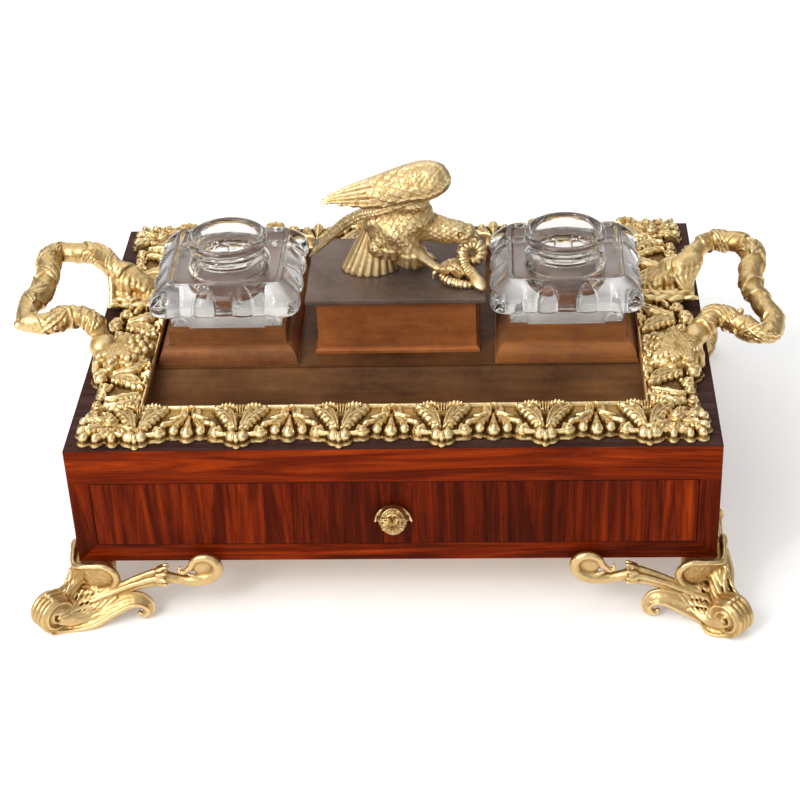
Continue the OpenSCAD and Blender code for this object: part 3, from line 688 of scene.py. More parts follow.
class Relief:
    """Heights above a ground over (u, v), built up from small forms."""

    def __init__(self, u, v):
        self.u, self.v = u, v
        self.h = np.zeros(np.broadcast(u, v).shape, F)
        self.cover = np.full(self.h.shape, 9.0, F)  # outline distance, negative inside

    def top(self, h, k=0.5):
        self.h = np.where(h > 0, -smin(-self.h, -h, k), self.h)

    def edge(self, d):
        self.cover = np.minimum(self.cover, d)

    def dome(self, cu, cv, r, h, rv=None, rot=0.0, k=0.4, base=0.0, cover=None, power=0.5):
        rv = rv or r
        c, s = math.cos(math.radians(rot)), math.sin(math.radians(rot))
        x, y = self.u - cu, self.v - cv
        p, q = (x * c + y * s) / r, (-x * s + y * c) / rv
        e = p * p + q * q
        self.top(np.where(e < 1, base + h * np.maximum(1 - e, 0) ** power, -1), k)
        if cover is not None:
            self.edge((np.sqrt(e) - 1) * min(r, rv) - cover)

    def path(self, pts):
        """Nearest place on a polyline: distance, share of its length, signed side."""
        P = np.asarray(pts, float)
        seg = np.linalg.norm(np.diff(P[:, :2], axis=0), axis=1)
        total = seg.sum()
        best = np.full(self.h.shape, 1e9)
        S, A = np.zeros(self.h.shape), np.zeros(self.h.shape)
        arc = 0.0
        for i, L in enumerate(seg):
            e = (P[i + 1] - P[i])[:2]
            x, y = self.u - P[i][0], self.v - P[i][1]
            t = np.clip((x * e[0] + y * e[1]) / (L * L), 0, 1)
            dx, dy = x - t * e[0], y - t * e[1]
            d = dx * dx + dy * dy
            m = d < best
            best = np.where(m, d, best)
            S = np.where(m, (arc + t * L) / total, S)
            A = np.where(m, np.sign(e[0] * dy - e[1] * dx), A)
            arc += L
        d = np.sqrt(best)
        return d, S, A * d, total

    def ridge(self, pts, widths, heights, k=0.4, groove=0.0, power=0.5, cover=None):
        d, s, a, _ = self.path(pts)
        w = np.interp(s, np.linspace(0, 1, len(widths)), widths)
        h = np.interp(s, np.linspace(0, 1, len(heights)), heights)
        e = d / np.maximum(w, 0.05)
        v = h * np.maximum(1 - e * e, 0) ** power
        if groove:
            v -= groove * np.exp(-((a / 0.45) ** 2)) * (e < 1)
        self.top(np.where(e < 1, v, -1), k)
        if cover is not None:
            self.edge(d - w - cover)

    def leaf(self, pts, width, height, lobes=5, flutes=3, depth=0.7, curl=0.6, side=0, k=0.35, lift=0.0):
        """An acanthus leaf along pts: notched edge, midrib and flutes that run with it."""
        pts = spline(np.asarray(pts, float), 0.8)
        d, s, a, total = self.path(pts)
        shape = np.sin(np.pi * np.clip(s, 0, 1) ** 0.8) ** 0.55 * (1 - 0.25 * s) + 0.05
        notch = 1 - 0.24 * (0.5 + 0.5 * np.cos(2 * np.pi * (s * lobes - np.abs(a) * 0.06))) ** 2
        w = width * shape * notch
        if side:  # one half narrower than the other
            w = w * np.where(a * side > 0, 1.0, 0.6)
        e = np.abs(a) / np.maximum(w, 0.05)
        over = np.sqrt(np.maximum(d * d - a * a, 0))
        ee = np.sqrt(e * e + (over / 0.7) ** 2)
        body = height * (0.62 + 0.38 * np.sin(np.pi * np.clip(s, 0, 1) ** 1.3)) * np.maximum(1 - ee**3, 0) ** 0.6
        rib = 0.5 * np.exp(-((a / 0.5) ** 2)) - 0.55 * np.exp(-(((np.abs(a) - 1.0) / 0.45) ** 2))
        vein = np.cos(2 * np.pi * (s * lobes - e * 0.9 + 0.1)) * e * (1 - e)
        flute = np.cos(2 * np.pi * e * flutes * 0.5)
        h = body + rib * 0.55 * (ee < 1) + depth * vein * 0.9 + depth * 0.22 * flute * (ee < 1)
        h = h + curl * np.exp(-(((s - 0.93) / 0.09) ** 2)) * (ee < 1) + lift * s
        self.top(np.where(ee < 1, np.maximum(h, 0.25), -1), k)

    def carve(self, d, w, depth, floor=0.0):
        """Lowers the surface within w of a line at distance d."""
        self.h = np.maximum(self.h - depth * np.exp(-((d / w) ** 2)), np.minimum(self.h, floor))

    def volute(self, cu, cv, r, h, way=1, start=0.0, k=0.3, cover=0.3):
        x, y = self.u - cu, self.v - cv
        rho = np.sqrt(x * x + y * y)
        th = np.arctan2(y, x) * way - math.radians(start)
        turns = (th / (2 * np.pi)) % 1.0
        pitch = r * 0.42
        f = ((rho / pitch) - turns) % 1.0
        ring = 0.5 - 0.5 * np.cos(2 * np.pi * f)
        body = h * np.maximum(1 - (rho / r) ** 4, 0) ** 0.5 * (0.72 + 0.28 * np.maximum(1 - (rho / r) ** 2, 0))
        v = body - 1.0 * (1 - ring) * (rho < r * 0.93) * (rho > r * 0.22)
        v = np.maximum(v, np.where(rho < r * 0.3, h * 1.05 * np.sqrt(np.maximum(1 - (rho / (r * 0.34)) ** 2, 0)), 0))
        self.top(np.where(rho < r, np.maximum(v, 0.3), -1), k)
        if cover is not None:
            self.edge(rho - r - cover)


def large_motif(R, stretch=1.0):
    """Two acanthus leaves in a V over a bud, with a flute fan at the rim and a volute on each side."""
    for s in (-1, 1):
        # side volutes and their stems
        R.ridge([(s * 2.6, 22.6), (s * 6, 23.2), (s * 8.6, 22.8)], [1.2, 0.9, 1.1], [2.4, 2.0, 2.4], cover=0.7)
        R.volute(s * 10.3, 21.0, 3.5, 3.0, way=-s, start=90)
        R.dome(s * 8.9, 18.0, 1.3, 2.2, cover=0.2)
        # lower, inner leaf tier
        R.leaf([(s * 0.9, 22.0), (s * 2.6, 17.4), (s * 5.2, 14.0), (s * 8.3, 12.8)], 3.1, 2.6, lobes=4, depth=0.8)
        # upper leaf tier, out to the corner by the rim
        R.leaf([(s * 1.0, 21.0), (s * 3.0, 14.8), (s * 6.4, 9.4), (s * 11.2, 4.4), (s * 12.4, 2.2)], 4.3, 3.3, lobes=6, flutes=4, depth=0.9, curl=1.0)
        R.leaf([(s * 1.2, 16.0), (s * 2.8, 10.4), (s * 5.4, 6.2), (s * 8.8, 3.6)], 2.5, 3.9, lobes=4, depth=0.8, curl=0.8)
        # curled lobes under the rim
        for cu, cv, r, h in ((3.5, 2.6, 1.25, 4.0), (5.2, 1.8, 1.25, 4.2), (7.0, 1.7, 1.2, 4.0), (8.7, 2.2, 1.1, 3.8)):
            R.dome(s * cu, cv, r, h, rv=r * 1.25)
        # bud lobes
        R.dome(s * 2.5, 24.5, 3.0, 3.5, rv=3.2, rot=s * 28, cover=0.35, k=0.25)
        R.ridge([(s * 0.9, 20.6), (s * 2.4, 22.4), (s * 3.4, 24.6)], [0.5, 0.6, 0.4], [3.9, 4.0, 3.4], k=0.2)
    d, _, _, _ = R.path([(0, 26.8), (0, 22.0)])
    R.dome(0, 25.8, 1.7, 3.7, rv=2.7, cover=0.4, k=0.15)
    R.carve(d, 0.28, 0.9, 0.5)
    for u in (-2.1, -0.7, 0.7, 2.1):
        R.ridge([(u * 1.05, 1.0), (u * 0.8, 5.0)], [0.62, 0.45], [3.0, 1.6], k=0.1)
    # the dark V between the leaves
    d, s_, _, _ = R.path([(0, 7.4), (0, 20.2)])
    w = np.interp(s_, [0, 1], [1.7, 0.35])
    R.h = np.where(d < w, np.minimum(R.h, 0.25 + 2.2 * (d / w) ** 2), R.h)


def small_motif(R):
    """A palmette under an arched niche, ending in three drops."""
    # niche
    x = np.abs(R.u) - 4.3
    y = np.maximum(4.4 - R.v, 0)
    d = np.where(R.v < 4.4, np.sqrt(R.u**2 + (y * 1.35) ** 2) - 5.2, np.abs(R.u) - 5.2)
    R.top(np.where((d < 0) & (R.v < 12) & (R.v > 0.8), 1.15 * np.minimum(1, -d / 0.6), -1), 0.2)
    # ring and slot
    r = np.sqrt(R.u**2 + ((R.v - 3.9) * 0.9) ** 2)
    R.top(np.where(R.v < 5.4, 3.1 * np.sqrt(np.maximum(1 - ((r - 1.45) / 0.75) ** 2, 0)), -1) , 0.2)
    for s in (-1, 1):
        R.ridge([(s * 1.25, 4.2), (s * 1.1, 8.2), (s * 2.0, 10.4)], [0.6, 0.6, 0.9], [3.0, 3.0, 3.2], k=0.15)
        # hollow palmette leaf with a raised lip
        R.leaf([(s * 0.9, 9.6), (s * 3.2, 12.6), (s * 5.6, 16.4), (s * 6.4, 19.6)], 3.0, 2.2, lobes=2, flutes=2, depth=0.5, curl=1.2)
        R.ridge([(s * 1.2, 8.6), (s * 3.6, 10.6), (s * 6.6, 11.6), (s * 9.0, 11.4)], [0.9, 1.25, 1.2, 0.5], [3.2, 3.6, 3.2, 2.4], k=0.2)
        R.ridge([(s * 5.6, 12.6), (s * 8.2, 14.4), (s * 11.2, 15.6)], [0.8, 1.3, 1.5], [2.2, 2.7, 2.8], k=0.25, cover=0.4)
        R.dome(s * 11.3, 16.0, 2.1, 2.9, rv=1.5, rot=s * 25, cover=0.3)
        R.dome(s * 6.2, 19.8, 2.5, 3.1, rv=2.7, cover=0.35, k=0.2)
        R.ridge([(s * 2.2, 12.8), (s * 4.4, 17.2)], [0.35, 0.4], [2.9, 3.0], k=0.1)
    R.ridge([(0, 9.2), (0, 14), (0, 19.4)], [0.6, 1.5, 2.5], [2.2, 2.9, 3.0], k=0.15)
    R.dome(0, 21.6, 3.1, 3.9, cover=0.35, k=0.2)
    for s in (-1, 1):
        d, _, _, _ = R.path([(s * 0.9, 11.0), (s * 2.7, 18.4)])
        R.carve(d, 0.35, 1.7, 0.3)
        d, _, _, _ = R.path([(s * 1.0, 19.6), (s * 1.4, 23.4)])
        R.carve(d, 0.25, 0.55, 0.5)
    d, _, _, _ = R.path([(0, 4.6), (0, 8.6)])
    R.h = np.where(d < 0.62, np.minimum(R.h, 0.1), R.h)


def corner_motif(R):
    """Local u and v run outwards along x and y from (122, 80): a rosebud in a shell of lobed leaves."""
    c = (8.0, 7.4)
    n = 9
    for i in range(n):
        a = math.radians(-62 + i * (214 / (n - 1)))
        reach = 15.2 + 1.6 * (i % 2) - 1.6 * abs(i - (n - 1) / 2) / 4
        dx, dy = math.cos(a), math.sin(a)
        tip = (c[0] + dx * reach, c[1] + dy * reach)
        tip = (min(tip[0], 20.4), min(tip[1], 18.6))
        bend = 1.3 if i % 2 else -1.3
        mid = (c[0] + dx * reach * 0.55 - dy * bend, c[1] + dy * reach * 0.55 + dx * bend)
        R.leaf([(c[0] + dx * 3, c[1] + dy * 3), mid, tip], 3.1, 3.0, lobes=3, depth=0.8, curl=0.4)
        R.dome(tip[0], tip[1], 2.6, 3.1, rv=2.1, rot=math.degrees(a), cover=0.35, k=0.25)
        R.dome(tip[0] - dx * 3.6, tip[1] - dy * 3.6, 1.1, 3.9, k=0.2)
    R.edge(np.maximum(np.sqrt((R.u - c[0]) ** 2 + (R.v - c[1]) ** 2) - 14.5, np.maximum(R.u - 20.4, R.v - 18.4)))
    # rosebud
    R.dome(c[0], c[1], 4.3, 5.0, k=0.2)
    x, y = R.u - c[0], R.v - c[1]
    rho = np.sqrt(x * x + y * y)
    th = np.arctan2(y, x)
    f = ((rho / 1.7) - th / (2 * np.pi)) % 1.0
    R.h = np.where(rho < 4.2, R.h - 0.9 * np.exp(-(((f - 0.5) / 0.13) ** 2)) * (rho > 0.7), R.h)


def scroll_motif(R, hand):
    """Between a side's last large leaf and the corner: a long leaf that sweeps to the corner."""
    R.leaf([(hand * 1, 2.6), (hand * 5, 7.0), (hand * 8, 13.0), (hand * 7, 20.0)], 4.0, 3.6, lobes=5, flutes=4, depth=1.0, curl=0.8)
    R.leaf([(-hand * 4, 3.4), (-hand * 1, 9.4), (hand * 1.5, 16.0), (0, 22.0)], 3.0, 3.0, lobes=4, depth=0.8, curl=0.8)
    R.volute(-hand * 2.5, 21.4, 3.0, 2.8, way=hand, start=0)
    R.volute(hand * 5.6, 22.2, 2.8, 2.8, way=-hand, start=0)
    for i in range(5):
        R.dome(hand * (1.2 + 0.25 * i), 2.2 + i * 2.1, 0.95, 3.9 - 0.15 * i, k=0.15)


def border_heights(x, y):
    """Height above the ground and outline distance over plan arrays x and y."""
    H = np.zeros(np.broadcast(x, y).shape, F)
    X, Y = np.broadcast_to(x, H.shape), np.broadcast_to(y, H.shape)
    cover = np.maximum(np.abs(X) - (RIM_X + 19.5), np.abs(Y) - (-RIM_F + 19.5)).astype(F)

    def stamp(cx, cy, ux, uy, vx, vy, half, draw):
        """u runs along (ux, uy) and v along (vx, vy) from (cx, cy)."""
        nonlocal H, cover
        lo_x = cx + min(0, vx) * 31 - abs(ux) * half
        hi_x = cx + max(0, vx) * 31 + abs(ux) * half
        lo_y = cy + min(0, vy) * 31 - abs(uy) * half
        hi_y = cy + max(0, vy) * 31 + abs(uy) * half
        ix = np.where((X[:, 0] >= lo_x) & (X[:, 0] <= hi_x))[0]
        iy = np.where((Y[0] >= lo_y) & (Y[0] <= hi_y))[0]
        if len(ix) < 2 or len(iy) < 2:
            return
        sl = (slice(ix[0], ix[-1] + 1), slice(iy[0], iy[-1] + 1))
        xx, yy = X[sl] - cx, Y[sl] - cy
        R = Relief(xx * ux + yy * uy, xx * vx + yy * vy)
        draw(R)
        H[sl] = np.maximum(H[sl], R.h)
        cover[sl] = np.minimum(cover[sl], R.cover)

    for i in (-2.5, -1.5, -0.5, 0.5, 1.5, 2.5):
        for s in (-1, 1):
            stamp(i * PITCH, RIM_B if s > 0 else RIM_F, 1, 0, 0, s, 15.5, large_motif)
    for i in (-2, -1, 0, 1, 2):
        for s in (-1, 1):
            stamp(i * PITCH, RIM_B if s > 0 else RIM_F, 1, 0, 0, s, 14.0, small_motif)
    for s in (-1, 1):
        for i in (-1, 0, 1):
            stamp(s * RIM_X, i * 47, 0, 1, s, 0, 15.5, large_motif)
        for i in (-0.5, 0.5):
            stamp(s * RIM_X, i * 47, 0, 1, s, 0, 14.0, small_motif)
        for j in (-1, 1):
            stamp(s * RIM_X, j * 66.5, 0, 1, s, 0, 13, lambda R: scroll_motif(R, j))
            stamp(s * 122, j * 80, s, 0, 0, j, 32, lambda R: corner_motif(Relief2(R, s, j)))
    return H, cover


class Relief2:
    """Passes corner drawing on to R, whose u is signed outwards already."""

    def __new__(cls, R, s, j):
        return R


def make_border(h):
    parts = {
        "border_front_a": ((-146, -103.5), (0, RIM_F + 1)),
        "border_front_b": ((0, -103.5), (146, RIM_F + 1)),
        "border_back_a": ((-146, RIM_B - 1), (0, 103.5)),
        "border_back_b": ((0, RIM_B - 1), (146, 103.5)),
        "border_left": ((-146, RIM_F), (-RIM_X + 1, RIM_B)),
        "border_right": ((RIM_X - 1, RIM_F), (146, RIM_B)),
    }
    first = True
    rnd = np.random.RandomState(5)
    for name, ((x0, y0), (x1, y1)) in parts.items():
        pad = 0 if "left" in name or "right" in name else 0.6
        vol = Vol((x0 - h, y0 - pad, ZT - 2 * h), (x1 + h, y1 + pad, ZG + 6.6), h)
        x = vol.lo[0] + h * np.arange(vol.n[0])[:, None]
        y = vol.lo[1] + h * np.arange(vol.n[1])[None, :]
        H, cover = border_heights(x, y)
        z = (vol.lo[2] + h * np.arange(vol.n[2]))[None, None, :]
        # the plain inner fillet along the tray
        rim = np.maximum(np.abs(x) - RIM_X, np.maximum(y - RIM_B, RIM_F - y))
        rim = np.where((np.abs(x) > RIM_X) & ((y > RIM_B) | (y < RIM_F)),
                       np.hypot(np.abs(x) - RIM_X, np.maximum(y - RIM_B, RIM_F - y)), rim)
        fillet = 1.85 * np.sqrt(np.clip(1 - ((rim - 0.9) / 0.95) ** 2, 0, 1))
        ground = 0.35 * np.clip((rim - 2) / 4, -1, 0)
        top = ZG + np.maximum(np.where(H > 0, H, 0) + ground, fillet)
        # the ground falls a little towards the scalloped edge
        top = top - 1.0 * np.clip((rim - 17) / 8, 0, 1) * np.exp(-np.maximum(H, 0) / 1.2)
        D = (z - top[:, :, None]) * 0.8
        edge = smax(D, cover[:, :, None] + np.clip((z - ZG) * 0.25, -0.6, 0.8), 0.5)
        v = np.maximum(edge, ZT + 0.03 - z)
        v = np.maximum(v, -rim[:, :, None])
        if "left" in name or "right" in name:  # butt joints at the rim's corners
            v = np.maximum(v, np.maximum(y - (RIM_B - 0.02), RIM_F + 0.02 - y)[:, :, None])
        else:
            inner = (RIM_F - 0.02 - y) if "front" in name else (y - RIM_B - 0.02)
            v = np.maximum(v, -inner[:, :, None])
        # the recess that takes the tray's flange
        fl = np.maximum(np.abs(x) - 124.2, np.maximum(y - 82.3, -81.3 - y))
        v = np.maximum(v, -np.maximum(fl[:, :, None], z - (ZT + 2.3)))
        vol.d = v.astype(F)
        vol.rough(0.09, 1.3, 17)
        vol.cut_below(ZT + 0.02)
        p, t, q, small, wide = vol.mesh()
        # the plain ground between the motifs is pushed down in cav: made more matt, as a matted ground, and painted
        # darker as shade among the raised ornament
        low = np.clip((ZG + 0.6 - p[:, 2]) / 0.45, 0, 1) * (p[:, 2] > ZG - 1.6)
        rm = np.maximum(np.abs(p[:, 0]) - RIM_X, np.maximum(p[:, 1] - RIM_B, RIM_F - p[:, 1]))
        small = (small - 1.15 * low * (rm > 1.9)).astype(F)
        ob = place(name, (p, t, q, small, wide), GILT, "case")
        if first:
            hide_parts("border")
            first = False
    lap("border")


# ---------------------------------------------------------------- handles

HANDLE_LEFT = [
    (137, 33.5, -4, 5.6), (143.5, 34.5, -1, 5.4), (149.5, 40.5, 0, 5.2), (155.8, 48.2, 0, 5.2), (162.7, 51.8, 0, 5.2),
    (169, 51.5, 0, 5.3), (176.3, 51.8, 0, 5.7), (181.6, 47.3, 0, 6.1), (180, 34, 0, 6.3), (178.6, 22, 0, 6.3),
    (179.4, 10, 0, 6.1), (182.2, 0, 0, 5.8), (183.1, -11.3, 0, 5.2), (180.6, -18.2, 0, 5.2), (174.3, -17.9, 0, 5.5),
    (167.7, -16.5, 0, 5.7), (161.5, -13, 0, 5.7), (155.6, -12.6, 0, 5.4), (149.0, -16.6, -1.5, 5.5), (146, -19.5, -4.5, 5.2),
]
HANDLE_RIGHT = [
    (136, 33.5, -4, 5.6), (143.3, 35.5, -1, 5.4), (149.4, 44, 0, 5.2), (155, 52.4, 0, 5.4), (161.5, 54.7, 0, 5.6),
    (169.4, 52.8, 0, 5.7), (175.4, 47.6, 0, 6.0), (177.3, 36.6, 0, 6.3), (175.4, 26.6, 0, 6.2), (174.2, 18.4, 0, 6.1),
    (175.2, 8.7, 0, 5.9), (178.2, -1, 0, 5.6), (181.6, -10.5, 0, 5.3), (181.2, -20, 0, 5.2), (177.6, -24.4, 0, 5.2),
    (172, -22.6, 0, 5.3), (165.6, -16.8, 0, 5.5), (159.4, -11.8, 0, 5.7), (153.2, -11, 0, 5.7), (147.3, -17.6, -2, 5.6),
    (142.5, -24, -5, 5.4),
]
HZ = ZT + 16.8


def wrap_map(length, seed, radius=5.3, ds=0.3, nth=200):
    """Relief over arc length and angle: leaves and folds of bark that wrap a stem."""
    rnd = Rand(seed)
    s = np.arange(0, length + ds, ds)[:, None]
    th = (np.arange(nth) * 2 * np.pi / nth)[None, :]
    out = np.zeros((s.shape[0], nth))

    def wrap(a):
        return (a + np.pi) % (2 * np.pi) - np.pi

    out += 0.30 * np.sin(s * 0.19 + 1.1 * np.sin(th + s * 0.04)) + 0.25 * np.cos(2 * th + s * 0.11)
    # folds: rising slowly, dropping off sharply, leaning one way or the other
    x = 3.0
    while x < length - 3:
        lean = rnd(0.5, 1.2) * (1 if rnd() > 0.5 else -1)
        t0, span = rnd(0, 2 * np.pi), rnd(1.3, 2.6)
        w = wrap(th - t0)
        q = s - x - lean * w * radius * 0.6 - 0.6 * np.sin(2 * w)
        back = rnd(6.0, 10.0)
        prof = np.where(q < 0, np.clip(1 + q / back, 0, 1), np.clip(1 - q / 0.8, 0, 1))
        if rnd() > 0.5:
            prof = np.where(q > 0, np.clip(1 - q / back, 0, 1), np.clip(1 + q / 0.8, 0, 1))
        fade = np.clip(1.4 * np.cos(np.clip(w / span, -1, 1) * np.pi / 2), 0, 1)
        out = np.maximum(out, prof * fade * rnd(0.9, 1.4) + 0.45 * out)
        x += rnd(3.8, 6.0)
    # leaves laid on the stem, with a midrib and side veins
    x = 6.0
    while x < length - 6:
        t0 = rnd(0, 2 * np.pi)
        phi = math.radians(rnd(25, 60) * (1 if rnd() > 0.5 else -1) + (180 if rnd() > 0.5 else 0))
        ln, wd, hh = rnd(12, 18), rnd(3.4, 5.0), rnd(0.7, 1.1)
        a, b = s - x, wrap(th - t0) * radius
        p = (a * math.cos(phi) + b * math.sin(phi)) / ln
        q = -a * math.sin(phi) + b * math.cos(phi)
        inside = (p > 0) & (p < 1)
        hw = wd * np.sin(np.pi * np.clip(p, 0, 1) ** 0.8) ** 0.8 + 0.05
        e = np.abs(q) / hw
        h = hh * np.clip(1 - e**6, 0, 1) * np.clip(p * 6, 0, 1) ** 0.5
        h = h + 0.45 * np.exp(-((q / 0.5) ** 2)) - 0.45 * np.exp(-(((np.abs(q) - 1.1) / 0.5) ** 2))
        h = h + 0.20 * np.cos(2 * np.pi * (p * ln / 2.4 - np.abs(q) * 0.5)) * np.clip(e * 2, 0, 1)
        out = np.where(inside & (e < 1), np.maximum(out, h + 0.5), out)
        x += rnd(6.5, 10.0)
    # buds, most of them towards the front
    for _ in range(int(length / 13)):
        x, t0, r = rnd(length * 0.45, length - 6), rnd(0.8, 2.6), rnd(1.3, 2.2)
        d = np.sqrt((s - x) ** 2 + (wrap(th - t0) * radius) ** 2)
        out = np.where(d < r, np.maximum(out, 0.5 + 1.0 * np.sqrt(np.maximum(1 - (d / r) ** 2, 0)) * r / 1.6), out)
    return out.astype(F), ds, nth


def look_up(table, S, th):
    m, ds, nth = table
    i = np.clip(S / ds, 0, m.shape[0] - 1.001)
    j = (th / (2 * np.pi) * nth) % nth
    i0, j0 = i.astype(np.int32), j.astype(np.int32)
    fi, fj = i - i0, j - j0
    j0 = j0 % nth
    j1 = (j0 + 1) % nth
    i1 = np.minimum(i0 + 1, m.shape[0] - 1)
    return (
        m[i0, j0] * (1 - fi) * (1 - fj) + m[i1, j0] * fi * (1 - fj) + m[i0, j1] * (1 - fi) * fj + m[i1, j1] * fi * fj
    )


def make_handle(s, h):
    """s is 1 for the right handle, whose front end hangs lower, and -1 for the left."""
    drop = 7.0 if s > 0 else 0.0
    rnd = Rand(11 if s > 0 else 23)
    lo_x, hi_x = (116, 193) if s > 0 else (-193, -116)
    vol = Vol((lo_x, -52, ZT - 0.5), (hi_x, 63, 118), h)
    P = spline(HANDLE_RIGHT if s > 0 else HANDLE_LEFT, 1.6)
    r = P[:, 3].copy()
    Z = HZ + P[:, 2] - drop * np.clip((40 - P[:, 1]) / 60, 0, 1) * np.where(P[:, 0] > 146, 1, 0.3 + 0.7 * np.clip((P[:, 0] - 134) / 12, 0, 1))
    Q = np.stack([s * P[:, 0], P[:, 1], Z], 1)
    arc = np.concatenate([[0], np.cumsum(np.linalg.norm(np.diff(Q, axis=0), axis=1))])
    table = wrap_map(arc[-1], 31 if s > 0 else 47)
    rr = r * 0.84

    def stem(S, a, b, c):
        th = np.arctan2(b, a) + np.pi
        rad = np.interp(S, arc, rr).astype(F) + look_up(table, S, th)
        return (np.sqrt(a * a + b * b + c * c) - rad) * 0.85

    vol.sweep(Q, 10.5, stem, k=0.3)

    def at(x, y):
        """Height of the stem's axis near (x, y)."""
        i = np.argmin((P[:, 0] - x) ** 2 + (P[:, 1] - y) ** 2)
        return Z[i]

    # leaf tips at the outer corners
    corners = (((176.4, 47.6), (0.6, 0.75), 4.9), ((180.8, -20.0), (0.45, -0.85), 4.4)) if s > 0 else (((181.4, 47.6), (0.72, 0.62), 5.0), ((182.0, -17.2), (0.8, -0.55), 4.4))
    for (x, y), (dx, dy), rad in corners:
        z = at(x, y)
        vol.cone((s * (x - 2), y, z), (s * (x + dx * 3.6), y + dy * 3.8, z - 0.3), rad, 2.4, 0.8)
        vol.cone((s * (x - 1), y - 3 * np.sign(dy), z + 2.4), (s * (x + dx * 2.6), y + dy * 3.0, z + 2.6), 2.3, 1.0, 0.5)
    for x, y, r0 in ((163, -13, 3.0), (156, -11, 2.8)):
        z = at(x, y)
        for k in range(3):
            vol.ball((s * (x + rnd(-3.5, 3.5)), y + rnd(-1.6, 1.6), z + rnd(3.0, 4.4)), r0 * rnd(0.55, 0.8), 0.4)
    # collar where the stem comes out of the leaf
    for t in (0.0, 1.0):
        vol.ell((s * (147.0 + 2.6 * t), -17.8 + 3.0 * t, at(147.5, -17.5) + 0.3), (6.3 - 0.6 * t, 1.5, 6.0 - 0.6 * t), axes=[unit((s * 0.76, -0.65, 0)), unit((s * 0.65, 0.76, 0)), (0, 0, 1)], k=0.5)

    # leaf in front, lying on the border
    hx, hy = 134.0, -28.0
    sl, x, y, zz = vol.window((lo_x, -52, ZT), (hi_x, -8, 112))
    X, Y = np.broadcast_arrays(x[:, :, 0] * s - hx, y[:, :, 0] - hy)
    R = Relief(X, Y)
    if s > 0:
        root = (1.6, -7.0)
        lobes = [(168, 15.5, 5.4), (132, 20, 5.6), (98, 19, 5.2), (56, 16, 5.2), (206, 15.0, 5.2), (248, 12.0, 5.0), (292, 11.5, 5.0), (-14, 9.5, 4.6)]
    else:
        root = (1.0, 2.0)
        lobes = [(246, 17.0, 5.2), (276, 18.0, 5.2), (306, 15.5, 5.0), (216, 15.0, 5.0), (334, 11.0, 4.6), (110, 11.0, 4.6), (150, 13.0, 5.0)]
    outline = np.full(X.shape, 9.0)
    for ang, ln, wd in lobes:
        a = math.radians(ang)
        tip = (root[0] + math.cos(a) * ln, root[1] + math.sin(a) * ln)
        mid = (root[0] + math.cos(a) * ln * 0.55, root[1] + math.sin(a) * ln * 0.55)
        R.leaf([(root[0], root[1]), mid, tip], wd, 2.4, lobes=6, flutes=5, depth=0.9, curl=0.9, k=0.5)
        d, sh, aa, _ = R.path([root, mid, tip])
        half = wd * np.sin(np.pi * np.clip(sh * 0.86 + 0.06, 0, 1)) ** 0.6 * (1 - 0.10 * np.cos(sh * 38)) + 0.4
        outline = smin(outline, d - half, 1.0)
        R.carve(np.abs(aa) + 3 * (d > half), 0.35, 0.8, 0.2)
    rho = np.hypot(X - 0.5, Y + 3.5)
    crown = ZG + 1.8 + 5.0 * np.clip(1 - (rho / 20) ** 2, 0, 1) ** 0.8
    Hh = crown + R.h * 0.8
    D = (zz - Hh[:, :, None]) * 0.75
    v = smax(D, outline[:, :, None] - 0.15 * (ZG + 3 - zz), 0.8)
    vol.put(sl, np.maximum(v, ZT - 1 - zz).astype(F), 0.9)
    if s < 0:  # smooth swelling outside, berries inside
        vol.ell((s * 127.6, -27.5, 96.6), (8.6, 10.5, 5.2), k=1.0)
        for i in range(19):
            a, q = i * 2.39996, math.sqrt((i + 0.5) / 19)
            bx, by = 127.2 + 8.4 * q * math.cos(a), -27.6 + 10.0 * q * math.sin(a)
            vol.ball((s * bx, by, 96.9 + 4.9 * math.sqrt(1 - 0.9 * q * q)), rnd(1.7, 2.3), 0.3)
    else:
        vol.ell((s * 144.0, -21.5, 99.2), (5.6, 6.6, 5.0), axes=[unit((s * 0.76, -0.65, 0)), unit((s * 0.65, 0.76, 0)), (0, 0, 1)], k=1.0)
        # curled tips on the side towards the tray
        for cx, cy, rad in ((122.0, -31.5, 2.9), (121.4, -24.8, 2.2), (124.6, -40.2, 2.3)):
            for k in range(9):
                a = math.radians(40 * k)
                vol.ball((s * (cx + rad * math.cos(a)), cy + rad * math.sin(a), 98.4 + 0.5 * math.sin(a)), 1.25, 0.6)
    # root behind: the stem sinks to the border as a ridge, with flutes falling from it to the front
    ridge = [(147.5, 36.6, 106.6, 5.0), (141.0, 35.2, 104.8, 5.6), (134.5, 32.8, 101.6, 5.4), (128.5, 30.8, 98.2, 4.6), (124.0, 30.0, 96.0, 3.4)]
    vol.tube(spline([(s * a, b, c, d) for a, b, c, d in ridge], 1.5), 1.2)
    line = spline(ridge, 0.5)
    for k in range(9):
        t = (k + 0.5) / 9
        ax, ay, az, ar = line[int(t * (len(line) - 1))]
        fx = 147.5 - 23.0 * t + rnd(-0.7, 0.7)
        w = rnd(1.7, 2.4)
        out = rnd(22.4, 24.4)
        vol.tube(spline([(s * ax, ay - 1.0, az + ar * 0.55, w * 0.6), (s * (ax * 0.5 + fx * 0.5), ay - ar * 0.95, az + 0.2, w), (s * fx, out + 4.2, 97.6, w * 1.05), (s * (fx + 0.2), out, 94.8, w * 0.9)], 1.5), 0.25)
    for k in range(6):  # and behind
        t = (k + 0.5) / 6
        ax, ay, az, ar = line[int(t * (len(line) - 1))]
        vol.tube(spline([(s * ax, ay + 1.5, az + ar * 0.4, 1.4), (s * (ax - 0.5), ay + ar * 0.95, az - 0.5, 2.2), (s * (ax - 1.0), ay + ar + 4.0, 94.8, 2.0)], 1.5), 0.3)
    if s > 0:  # pointed leaf over the trunk
        a, b, c = (s * 149.5, 31.5, 105.5), (s * 137.5, 27.0, 103.2), (s * 143.2, 21.4, 96.4)
